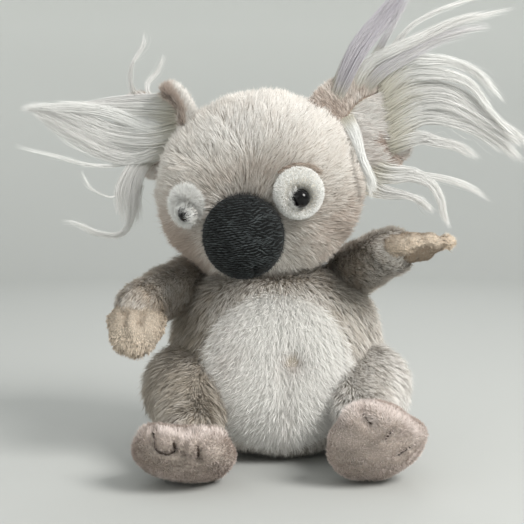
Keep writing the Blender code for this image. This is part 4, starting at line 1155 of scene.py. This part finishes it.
class KOALA_OT_nose(Operator):
    """Makes the velour nose with its knit rows, its dart and its nap"""

    bl_idname = "koala.nose"
    bl_label = "Nose"

    def execute(self, context):
        c = colours()
        form = Form(NOSE.place, NOSE.half * 2, grow=-0.0006)
        grid = form.grid(96, 160)
        dart = 0.0016 * crease(form.own(grid), NOSE_DART, 0.0009)
        grid = raised(grid, -dart)
        base = np.array(c.velour)
        cloth = ground_material("Nose velour", base * 0.15, base * 0.4, 1400.0, 130.0, 0.0003, 0.9, 0.08)
        dress(skin("nose_cloth", grid), cloth, "head", ("nose_cover", "nose_stuffing"))
        # The yarn is painted several times paler than the cloth under it: painted sheen on the stitches, painted shade
        # in the gaps between them.
        yarn = pile_material("Nose yarn", base * 0.3, base * 0.9, base * 3.1, base * 7.6, 0.35, 0.85, 0.05)
        self.stitches(form, yarn)
        roots, normals = scatter(grid, 6000, 61)
        keep = (form.own(roots)[:, 1] < 0.012) & ~hidden(roots, HEAD, grow=-0.003)
        roots, normals = roots[keep], normals[keep]
        flow = np.broadcast_to(NOSE.place[:3, 0] * 0.2 - NOSE.place[:3, 2], roots.shape)
        rim = ease((form.own(roots)[:, 2] - 0.012) / 0.006)
        path = combed(roots, normals, flow, 0.0013 + 0.0009 * rim, 1.15, seed=62, stray=0.8)
        tone = 0.22 + np.random.default_rng(63).normal(0, 0.14, len(roots)) - 0.2 * rim
        in_batches("nose_nap", "head", "velour", yarn, path, normals, 0.00015, tone, 64)
        return {"FINISHED"}

    def stitches(self, form, yarn):
        """Rows of short wavy stitches: each bows out of the cloth from its start to its end."""
        rng = np.random.default_rng(65)
        pitch, length = 0.00112, 0.0030
        rows = np.arange(-0.0200, 0.0200, pitch)
        slots = np.arange(-0.0200, 0.0200, length * 0.72)
        x, z = np.meshgrid(slots, rows)
        x = (x + (np.arange(len(rows)) % 2)[:, None] * length * 0.36).ravel() + rng.normal(0, 0.0003, x.size)
        z = z.ravel() + rng.normal(0, 0.00012, z.size)
        spot = np.stack([x, np.zeros_like(x), z], -1)
        rough = ease((x + 0.002) / 0.014)
        z = z + 0.0007 * waves(spot, 0.011, 66) * (0.35 + rough)
        angle = 0.08 * waves(spot, 0.006, 67) + rng.normal(0, 0.05, x.size) + rough * 0.40 * waves(spot, 0.005, 68)
        keep = (x / form.half[0]) ** 2 + (z / form.half[2]) ** 2 < 0.97
        x, z, angle = x[keep], z[keep], angle[keep]
        share = np.linspace(-0.5, 0.5, 5)
        px = x[:, None] + length * share * np.cos(angle)[:, None]
        pz = z[:, None] + length * share * np.sin(angle)[:, None]
        reach = np.sqrt((px / form.half[0]) ** 2 + (pz / form.half[2]) ** 2)
        shrink = np.minimum(1, 0.985 / np.maximum(reach, 1e-6))
        px, pz = px * shrink, pz * shrink
        flat = form.front(px, pz)
        normal = unit(flat / form.half**2)
        dart = 0.0016 * crease(flat, NOSE_DART, 0.0009)
        bow = 0.00036 * np.cos(math.pi * share * 0.9)[None, :] - 0.00010 - dart * 0.5
        path = form.out(flat + normal * bow[..., None])
        out = normal[:, 2] @ form.place[:3, :3].T
        tone = np.clip(0.50 + 0.08 * waves(flat[:, 2], 0.006, 70) + rng.normal(0, 0.15, len(path)), 0.04, 0.98)
        piece = strands("nose_stitches", path, out, 0.00062, (0.55, 1.0, 1.0, 0.6), tone, sides=4, roll=0.3, seed=69)
        dress(piece, yarn, "head")


class KOALA_OT_ears(Operator):
    """Makes the ears' cloth, the short pile of their backs and rims, and the locks of their fronts"""

    bl_idname = "koala.ears"
    bl_label = "Ears"

    def execute(self, context):
        s, c = sizes(), colours()
        # The olive root colour is painted shadow at the roots of the locks.
        hair = pile_material(
            "Ear hair", (0.62, 0.59, 0.50), (0.52, 0.49, 0.55), (0.82, 0.81, 0.79), (0.95, 0.95,
                0.93), 0.28, 0.42, 0.1
        )
        blush = pile_material("Ear plush", (0.40, 0.31, 0.26), (0.50, 0.40, 0.34), (0.78, 0.70, 0.64), c.plush_pale)
        for side in SIDES:
            place = EARS[side]
            disc = Form(place, EAR_SIZE, grow=-0.0012)
            grid = disc.grid(64, 96)
            local = disc.own(grid)
            # The leaf: the disc is drawn out or in towards its corners, and bent back there
            drawn = local.copy()
            drawn[..., 1] += 0.0020 * (1 - (local[..., 0] / 0.024) ** 2 - (local[..., 2] / 0.027) ** 2)
            for reach, middle, spread, back in EAR_LEAVES[side]:
                turn = (np.degrees(np.arctan2(-local[..., 0], local[..., 2])) - middle + 180) % 360 - 180
                pull = np.exp(-((turn / spread) ** 2))[..., None]
                drawn += local * reach * pull * (1.0, 0.0, 1.0)
                drawn[..., 1] += back * pull[..., 0] * np.hypot(local[..., 0], local[..., 2]) / 0.027
            grid = disc.out(drawn)
            dress(
                skin("ear_cloth_" + side, grid),
                plush_ground(),
                "ear_" + side,
                ("ear_back_" + side, "ear_front_" + side),
            )
            roots, normals = scatter(grid, 34000, 71)
            keep = ~hidden(roots, HEAD, grow=-0.004)
            roots, normals = roots[keep], normals[keep]
            root = joint_at("ear_fold_" + side)
            local = disc.own(roots)
            front = normals @ -place[:3, 1] > 0.15
            # Painted shadow: the front turns brown along set routes by the roots of the hair.
            brown = crease(local * (1, 0, 1), *EAR_SHADOWS[side]) * front
            full = np.hypot(local[:, 0] - EAR_FILLS[side][0], local[:, 2] - EAR_FILLS[side][1]) < EAR_FILLS[side][2]
            full &= front & (brown < np.random.default_rng(75).uniform(0.2, 0.9, len(brown)))
            short, short_n = roots[~full], normals[~full]
            # Painted shade: on the left ear the pile darkens near the head.
            near = np.exp(-np.maximum(HEAD.level(short) - 1.04, 0) / 0.16) * (side == "left")
            path = combed(short, short_n, short - root, 0.0044, 0.60, clump=0.0007, seed=72)
            tone = shade_tone(short, 73, 0.62) - 0.45 * near * front[~full] - 0.50 * brown[~full]
            in_batches("ear_pile_" + side, "ear_" + side, "plush", blush, path, short_n, s.hair_width, tone, 74)
            face, face_n = roots[full], normals[full]
            flow = place[:3, 0] - (0.0, 0.0, 0.45) + 0.3 * slopes(face, 0.016, 79)
            path = combed(face, face_n, flow, 0.0070, 0.80, bow=0.8, clump=0.0010, clump_size=0.006, seed=76)
            tone = shade_tone(face, 77, 0.36, 0.10, 0.10, 0.10)
            in_batches("ear_fill_" + side, "ear_" + side, "white_plush", white_pile(), path, face_n, s.hair_width,
                tone, 78)
            path, width, tone = lock_paths(side, s.ear_hairs)
            out = np.broadcast_to((0.05, -1.0, 0.05), (len(path), 3))
            taper = np.linspace(1.0, 0.4, path.shape[1] - 1)
            piece = strands("ear_hair_long_" + side, path, out, width, taper, tone, roll=0.9, seed=82)
            dress(piece, hair, "ear_" + side, ("ear_hair_" + side,))
        self.hem(blush)
        return {"FINISHED"}

    def hem(self, blush):
        """The soft roll along the right ear's edge by the head: cream outside, browned inside by painted shade."""
        grid = welt_grid(EAR_HEM, 0.0031)
        dress(skin("ear_hem_right", grid), plush_ground(), "ear_right")
        roots, normals = scatter(grid, 6500, 131)
        flow = np.array((0.35, 0.0, 1.0)) + 0.3 * normals
        path = combed(roots, normals, flow, 0.0048, 0.66, clump=0.0008, seed=132, stray=0.2)
        # Painted shade: the tone drops where the roll faces -X, towards the roots of the hair.
        tone = 0.96 - 0.66 * ease((0.05 - normals[:, 0]) / 0.5) + np.random.default_rng(133).normal(0, 0.08,
            len(roots))
        in_batches("ear_hem_pile_right", "ear_right", "plush", blush, path, normals, 0.00034, tone, 134)


def welt_grid(route, radius, rows=44, columns=28):
    """A soft roll along a route in millimetres: at the share s it is r (1 - |2s - 1|^5)^(1/2) thick."""
    spine = smooth(np.array(route, float) * MM, rows)
    way = unit(np.gradient(spine, axis=0))
    side = unit(np.cross(way, (0.0, -1.0, 0.0)))
    over = np.cross(side, way)
    thick = radius * np.sqrt(1 - np.abs(np.linspace(-1, 1, rows)) ** 5)
    turn = np.linspace(0, 2 * math.pi, columns, endpoint=False)[:, None]
    ring = np.cos(turn) * side[:, None] + np.sin(turn) * over[:, None]
    return spine[:, None] + thick[:, None, None] * ring


def lock_paths(side, count, stations=10):
    """Paths, widths and tones of an ear's long hairs: each lock is a flat ribbon of a few tufts.

    A hair is at centre(e s) + aside w(s) (tuft + own (1 - s/2)) with s its share from root to tip,
    e how far along the lock its tuft ends and w the lock's half width there.
    """
    rng = np.random.default_rng(81 + len(side))
    share = np.linspace(0, 1, stations)
    total = sum(lock[0] for lock in LOCKS[side])
    paths, tones = [], []
    for weight, widths, base, *route in LOCKS[side]:
        hairs = int(count * weight / total)
        spine = smooth(np.array(route) * MM, 61) + EARS[side][:3, 3]
        way = unit(np.gradient(spine, axis=0))
        aside = unit(np.cross(way, (0.0, -1.0, 0.0)))
        half = np.interp(np.linspace(0, 1, 61), (0, 0.5, 1), widths) * MM / 2
        tufts = max(3, int(round(max(widths) * 1.3)))
        pick = rng.integers(0, tufts, hairs)
        spot = (np.linspace(-0.85, 0.85, tufts) + rng.normal(0, 0.10, tufts))[pick]
        end = rng.uniform(0.74, 1.0, tufts)
        end[rng.integers(0, tufts)] = 1.0
        end = end[pick] * (1 - 0.30 * rng.uniform(size=hairs) ** 2)
        start = rng.uniform(0, 0.16, hairs) * (max(widths) > 5)
        at = (start[:, None] + share[None, :] * (end - start)[:, None]) * 60
        low = np.minimum(at.astype(int), 59)
        t = (at - low)[..., None]

        def along(rows):
            return rows[low] * (1 - t) + rows[low + 1] * t

        own = rng.normal(0, 2.6 / tufts, hairs)
        aim = spot[:, None] + own[:, None] * (1 - 0.55 * share)
        wide = along(half[:, None])[..., 0]
        sway = rng.normal(0, 0.0007, (tufts, 2))[pick] + rng.normal(0, 0.0005, (hairs, 2)) * min(1.0, max(widths) / 4)
        sway *= np.where(rng.uniform(size=(hairs, 1)) < 0.05, 3.0, 1.0)
        beat = rng.uniform(0.6, 1.3, tufts)[pick]
        wave = np.sin(math.pi * beat[:, None] * share * 1.6) * share
        deep = rng.normal(0, 0.20, hairs)[:, None] * wide * (1 - 0.5 * share)
        path = along(spine) + along(aside) * (aim * wide + sway[:, :1] * wave)[..., None]
        path[..., 1] += deep + sway[:, 1:] * wave
        path += rng.normal(0, 0.0008, (hairs, 1, 3)) * (share**3)[None, :, None]
        path += EARS[side][:3, 1] * 0.0035 * ((1 - share) ** 4)[None, :, None]
        paths.append(path)
        tones.append(base + rng.normal(0, 0.03, tufts)[pick] + rng.normal(0, 0.05, hairs))
    path = np.concatenate(paths)
    return path, rng.uniform(0.00014, 0.00027, len(path)), np.concatenate(tones)


def smooth(points, steps):
    """Points evenly along the curve through the given ones, a chain of cubics with shared slopes."""
    held = np.concatenate([[2 * points[0] - points[1]], points, [2 * points[-1] - points[-2]]])
    reach = np.linspace(0, len(points) - 1, steps)
    span = np.minimum(reach.astype(int), len(points) - 2)
    t = (reach - span)[:, None]
    a, b, c, d = held[span], held[span + 1], held[span + 2], held[span + 3]
    return (2 * b + (c - a) * t + (2 * a - 5 * b + 4 * c - d) * t**2 + (3 * b - a - 3 * c + d) * t**3) / 2


class KOALA_OT_arms(Operator):
    """Makes the sleeves and their pile, combed to the wrist"""

    bl_idname = "koala.arms"
    bl_label = "Arms"

    def execute(self, context):
        s = sizes()
        for side in SIDES:
            root, end = joint_at("shoulder_" + side), joint_at("wrist_" + side)
            inset = s.pile_inset * 0.9
            grid = limb_grid(root, end, ARM_RADII[0] - inset, ARM_RADII[1] - inset)
            grid = raised(grid, 0.0007 * waves(grid, 0.022, 91))
            dress(
                skin("sleeve_cloth_" + side, grid),
                plush_ground(),
                "arm_" + side,
                ("arm_sleeve_" + side, "arm_stuffing_" + side),
            )
            roots, normals = scatter(grid, s.limb_hairs, 92)
            keep = ~hidden(roots, BODY, grow=-0.004) & ~hidden(roots, HEAD, grow=-0.003)
            keep &= ~hidden(roots, MITTS[side], grow=-0.001)
            roots, normals = roots[keep], normals[keep]
            flow = limb_flow(roots, root, end, side)
            share = ((roots - root) @ (end - root)) / ((end - root) @ (end - root))
            length = s.limb_pile * (1 - 0.30 * ease(share))
            path = combed(roots, normals, flow, length, 0.55, clump=0.0009, clump_size=0.005, seed=93)
            # Painted shade: the sleeve's pile turns brown towards the body, where it meets it.
            body_shade = ease((SLEEVE_SHADES[side][1] - HANDS[side] * roots[:, 0]) / SLEEVE_SHADES[side][2])
            brown = (0.34 if side == "left" else 0.22) * body_shade
            cuff = SLEEVE_SHADES[side][3] * ease((share - 0.86) / 0.10)
            tone = shade_tone(roots, 94, SLEEVE_SHADES[side][0], 0.06, 0.08) - brown - cuff
            in_batches("sleeve_pile_" + side, "arm_" + side, "plush", limb_plush(), path, normals, s.hair_width, tone,
                95)
        return {"FINISHED"}


def limb_flow(points, root, end, side):
    """The way that a limb's pile lies: outward and down at its root, then along the limb."""
    way = end - root
    share = ((points - root) @ way) / (way @ way)
    along = ease((share + 0.10) / 0.45)[:, None]
    start = unit(np.array((HANDS[side], 0.0, -0.5)))
    return start * (1 - along) + (unit(way) + (0.0, 0.0, -0.35)) * along


def limb_plush(name="Limb pile"):
    """The limbs' pile: the body's, with a deep brown for the painted shade where the sleeve meets the body."""
    found = bpy.data.materials.get(name)
    c = colours()
    return found or pile_material(name, (0.36, 0.29, 0.22), (0.46, 0.37, 0.28), c.plush_middle, c.plush_pale, 0.5)


class KOALA_OT_paws(Operator):
    """Makes the terry paws with their dimples and loops"""

    bl_idname = "koala.paws"
    bl_label = "Paws"

    def execute(self, context):
        c = colours()
        base = np.array(c.terry)
        terry = ground_material("Paw terry", base * 0.70, base * 0.95, 1500.0, 90.0, 0.0005)
        loops = pile_material("Paw loops", base * 0.62, base * (0.56, 0.50, 0.45), base * 1.08, base * 1.36, 0.4)
        for side in SIDES:
            form = Form(MITTS[side].place, MITTS[side].half * 2, taper=MITTS[side].taper, grow=-0.0008)
            grid = form.grid(64, 96)
            local = form.own(grid)
            marks = sum(crease(local, route, 0.0017) for route in PAW_FOLDS[side])
            grid = raised(grid, 0.0005 * waves(grid, 0.010, 101) - 0.0014 * marks)
            dress(
                skin("paw_cloth_" + side, grid), terry, "paw_" + side, ("paw_cover_" + side,
                    "paw_stuffing_" + side)
            )
            roots, normals = scatter(grid, 21000, 102)
            local = form.own(roots)
            # Painted shade: the loops darken along the folds.
            fold = np.clip(sum(crease(local, route, 0.0024) for route in PAW_FOLDS[side]), 0, 1)
            if side == "right":
                curly = ease((local[:, 2] - 0.0085) / 0.0040)
                curly = np.maximum(curly, 0.7 * ease((np.abs(local[:, 0]) - 0.0120) / 0.0025))
                tone = 0.60 + 0.12 * curly - 0.55 * fold
            else:
                band = crease(local, PAW_BAND, 0.0042)
                curly = np.maximum(band, ease((local[:, 2] - 0.0110) / 0.0050))
                tone = 0.18 + 0.70 * curly - 0.34 * ease((-local[:, 1] - 0.002) / 0.003) - 0.5 * fold
            flow = np.broadcast_to(form.place[:3, 2], roots.shape) * 0.8 + normals * 0.1
            length = 0.0009 + 0.0019 * curly
            path = combed(roots, normals, flow, length, 0.9, bow=1.5, clump=0.0002, clump_size=0.0024, seed=103,
                stray=0.5)
            lean = slopes(roots, 0.0026, 110) * (0.0009 * curly)[:, None]
            path[:, 1:] -= lean[:, None, :]
            tone = tone + 0.05 * waves(roots, 0.020, 104) + 0.20 * waves(roots, 0.0028, 105) * (0.15 + curly)
            tone = tone + np.random.default_rng(106).normal(0, 0.08, len(roots))
            in_batches("paw_loops_" + side, "paw_" + side, "terry", loops, path, normals, 0.00030, tone, 107)
        return {"FINISHED"}


class KOALA_OT_legs(Operator):
    """Makes the haunches and their pile, combed to the ankle"""

    bl_idname = "koala.legs"
    bl_label = "Legs"

    def execute(self, context):
        s = sizes()
        for side in SIDES:
            root, end = joint_at("hip_" + side), joint_at("ankle_" + side)
            inset = s.pile_inset
            grid = limb_grid(root, end, LEG_RADII[0] - inset, LEG_RADII[1] - inset * 0.6)
            grid = raised(grid, 0.0008 * waves(grid, 0.025, 111))
            grid[..., 2] = np.maximum(grid[..., 2], 0.0010)
            dress(
                skin("haunch_cloth_" + side, grid),
                plush_ground(),
                "leg_" + side,
                ("leg_cover_" + side, "leg_stuffing_" + side),
            )
            roots, normals = scatter(grid, int(s.limb_hairs * 1.4), 112)
            keep = ~hidden(roots, BODY, grow=-0.004) & ~hidden(roots, FEET[side], grow=-0.001) & (roots[:, 2] > 0.002)
            roots, normals = roots[keep], normals[keep]
            flow = np.array((HANDS[side] * 0.35, -0.40, -1.0)) + 0.25 * slopes(roots, 0.020, 116)
            path = combed(roots, normals, flow, s.body_pile, 0.58, clump=0.0010, clump_size=0.005, seed=113)
            path[..., 2] = np.maximum(path[..., 2], 0.0003)
            tone = shade_tone(roots, 114, 0.80 if side == "left" else 0.18, 0.08, 0.08)
            in_batches("haunch_pile_" + side, "leg_" + side, "plush", plush(), path, normals, s.hair_width, tone, 115)
        return {"FINISHED"}


def foot_cut(side, local):
    """How far the toes' end of a foot is drawn back, at points in its own axes."""
    low, across, cut = FOOT_CUTS[side]
    return cut * ease((local[..., 0] - low) / across) * ease((-local[..., 1] - 0.004) / 0.018)


def foot_relief(side, local):
    """How far a foot's cloth stands out of its oval: its toes less its seams."""
    toes = sum(height * bump_at(local, centre, reach) for centre, reach, height in FOOT_LOBES[side])
    return toes - sum(depth * crease(local, route, width) for route, width, depth, _ in FOOT_SEAMS[side])


class KOALA_OT_feet(Operator):
    """Makes the feet with their curled toes, their short nap and the stitches between the toes"""

    bl_idname = "koala.feet"
    bl_label = "Feet"

    def execute(self, context):
        base = np.array(colours().sole)
        cloth = ground_material("Foot nap ground", base * 0.78, base, 1300.0, 70.0, 0.0005)
        nap = pile_material("Foot nap", base * 0.72, base * (0.70, 0.68, 0.70), base * (1.08, 1.09, 1.14),
            base * (1.40, 1.45, 1.56), 0.5)
        thread = ground_material("Toe thread", (0.035, 0.026, 0.02), (0.09, 0.065, 0.05), 900.0, 80.0, 0.0002, 0.7,
            0.0)
        for side in SIDES:
            form = Form(FEET[side].place, FEET[side].half * 2, grow=-0.0012)
            local = form.own(form.grid(124, 180))
            relief = foot_relief(side, local)
            local[..., 1] += foot_cut(side, local)
            grid = form.out(local)
            grid = raised(grid, 0.0005 * waves(grid, 0.012, 121) + relief)
            grid[..., 2] = np.maximum(grid[..., 2], 0.0003)
            dress(
                skin("foot_cloth_" + side, grid),
                cloth,
                "foot_" + side,
                ("foot_upper_" + side, "foot_sole_" + side, "foot_stuffing_" + side),
            )
            roots, normals = scatter(grid, 30000, 122)
            roots, normals = roots[roots[:, 2] > 0.0012], normals[roots[:, 2] > 0.0012]
            local = form.own(roots)
            local[:, 1] -= foot_cut(side, local)
            local /= np.linalg.norm(local / form.half, axis=-1, keepdims=True)
            ridge = np.clip(crease(local, FOOT_RIDGES[side], 0.0055), 0, 1)
            # Painted shade: the nap darkens along the seams between the toes.
            seam_shade = np.clip(sum(crease(local, route, width * 1.3) for route, width, _, _ in FOOT_SEAMS[side]), 0, 1)
            # Painted light: the nap on the underside is made paler against the shade there, most on the right foot.
            pale = ease((-local[:, 2] - 0.0075) / 0.003) * (0.38 if side == "right" else 0.12)
            flow = -form.place[:3, 1] * (1 - ridge[:, None]) + form.place[:3, 2] * ridge[:, None]
            length = 0.0017 + 0.0017 * ridge
            path = combed(roots, normals, flow, length, 0.95, clump=0.0003, clump_size=0.0030, seed=123, stray=0.4)
            path[..., 2] = np.maximum(path[..., 2], 0.0003)
            tone = shade_tone(roots, 124, 0.80 if side == "left" else 0.36, 0.07, 0.10,
                0.12) + 0.45 * ridge + pale - 0.5 * seam_shade
            bare = sum(crease(local, route, width * 0.8) for route, width, _, sewn in FOOT_SEAMS[side] if sewn) < 0.45
            path, normals, tone = path[bare], normals[bare], tone[bare]
            in_batches("foot_nap_" + side, "foot_" + side, "sole", nap, path, normals, 0.00027, tone, 125)
            self.threads(side, form, thread)
        return {"FINISHED"}

    def threads(self, side, form, thread):
        """The dark thread in each seam that pulls two toes apart."""
        sewn = [seam for seam in FOOT_SEAMS[side] if seam[3]]
        for i, (route, *_) in enumerate(sewn, start=1):
            line = smooth(np.array(route) * MM, 14)
            line /= np.linalg.norm(line / form.half, axis=-1, keepdims=True)
            normal = unit(line / form.half**2)
            rise = foot_relief(side, line)[:, None] + 0.0009
            line[:, 1] += foot_cut(side, line)
            path = form.out(line + normal * rise)[None]
            out = (normal[7] @ form.place[:3, :3].T)[None]
            piece = strands(
                f"toe_thread_{side}_{i}", path, out, 0.0011, np.ones(13), np.array([0.5]), sides=6, roll=0.0, seed=126
            )
            dress(piece, thread, "foot_" + side, (f"toe_stitch_{side}_{i}",))


class KOALA_PT_looks(Panel):
    """Lists the pieces and their settings"""

    bl_label = "Plush koala"
    bl_idname = "KOALA_PT_looks"
    bl_space_type = "VIEW_3D"
    bl_region_type = "UI"
    bl_category = "Koala"

    def draw(self, context):
        for operator in OPERATORS:
            self.layout.operator(operator.bl_idname)
        for group in (context.scene.koala_sizes, context.scene.koala_colours, context.scene.koala_stage):
            for name in group.__annotations__:
                self.layout.prop(group, name)


OPERATORS = (
    KOALA_OT_stage,
    KOALA_OT_body,
    KOALA_OT_belly,
    KOALA_OT_head,
    KOALA_OT_eyes,
    KOALA_OT_nose,
    KOALA_OT_ears,
    KOALA_OT_arms,
    KOALA_OT_paws,
    KOALA_OT_legs,
    KOALA_OT_feet,
)
CLASSES = (KoalaSizes, KoalaColours, KoalaStage, *OPERATORS, KOALA_PT_looks)


def register():
    for item in CLASSES:
        bpy.utils.register_class(item)
    bpy.types.Scene.koala_sizes = PointerProperty(type=KoalaSizes)
    bpy.types.Scene.koala_colours = PointerProperty(type=KoalaColours)
    bpy.types.Scene.koala_stage = PointerProperty(type=KoalaStage)


def unregister():
    del bpy.types.Scene.koala_sizes, bpy.types.Scene.koala_colours, bpy.types.Scene.koala_stage
    for item in reversed(CLASSES):
        bpy.utils.unregister_class(item)


def main():
    register()
    for operator in OPERATORS:
        family, name = operator.bl_idname.split(".")
        getattr(getattr(bpy.ops, family), name)()


if __name__ == "__main__":
    main()
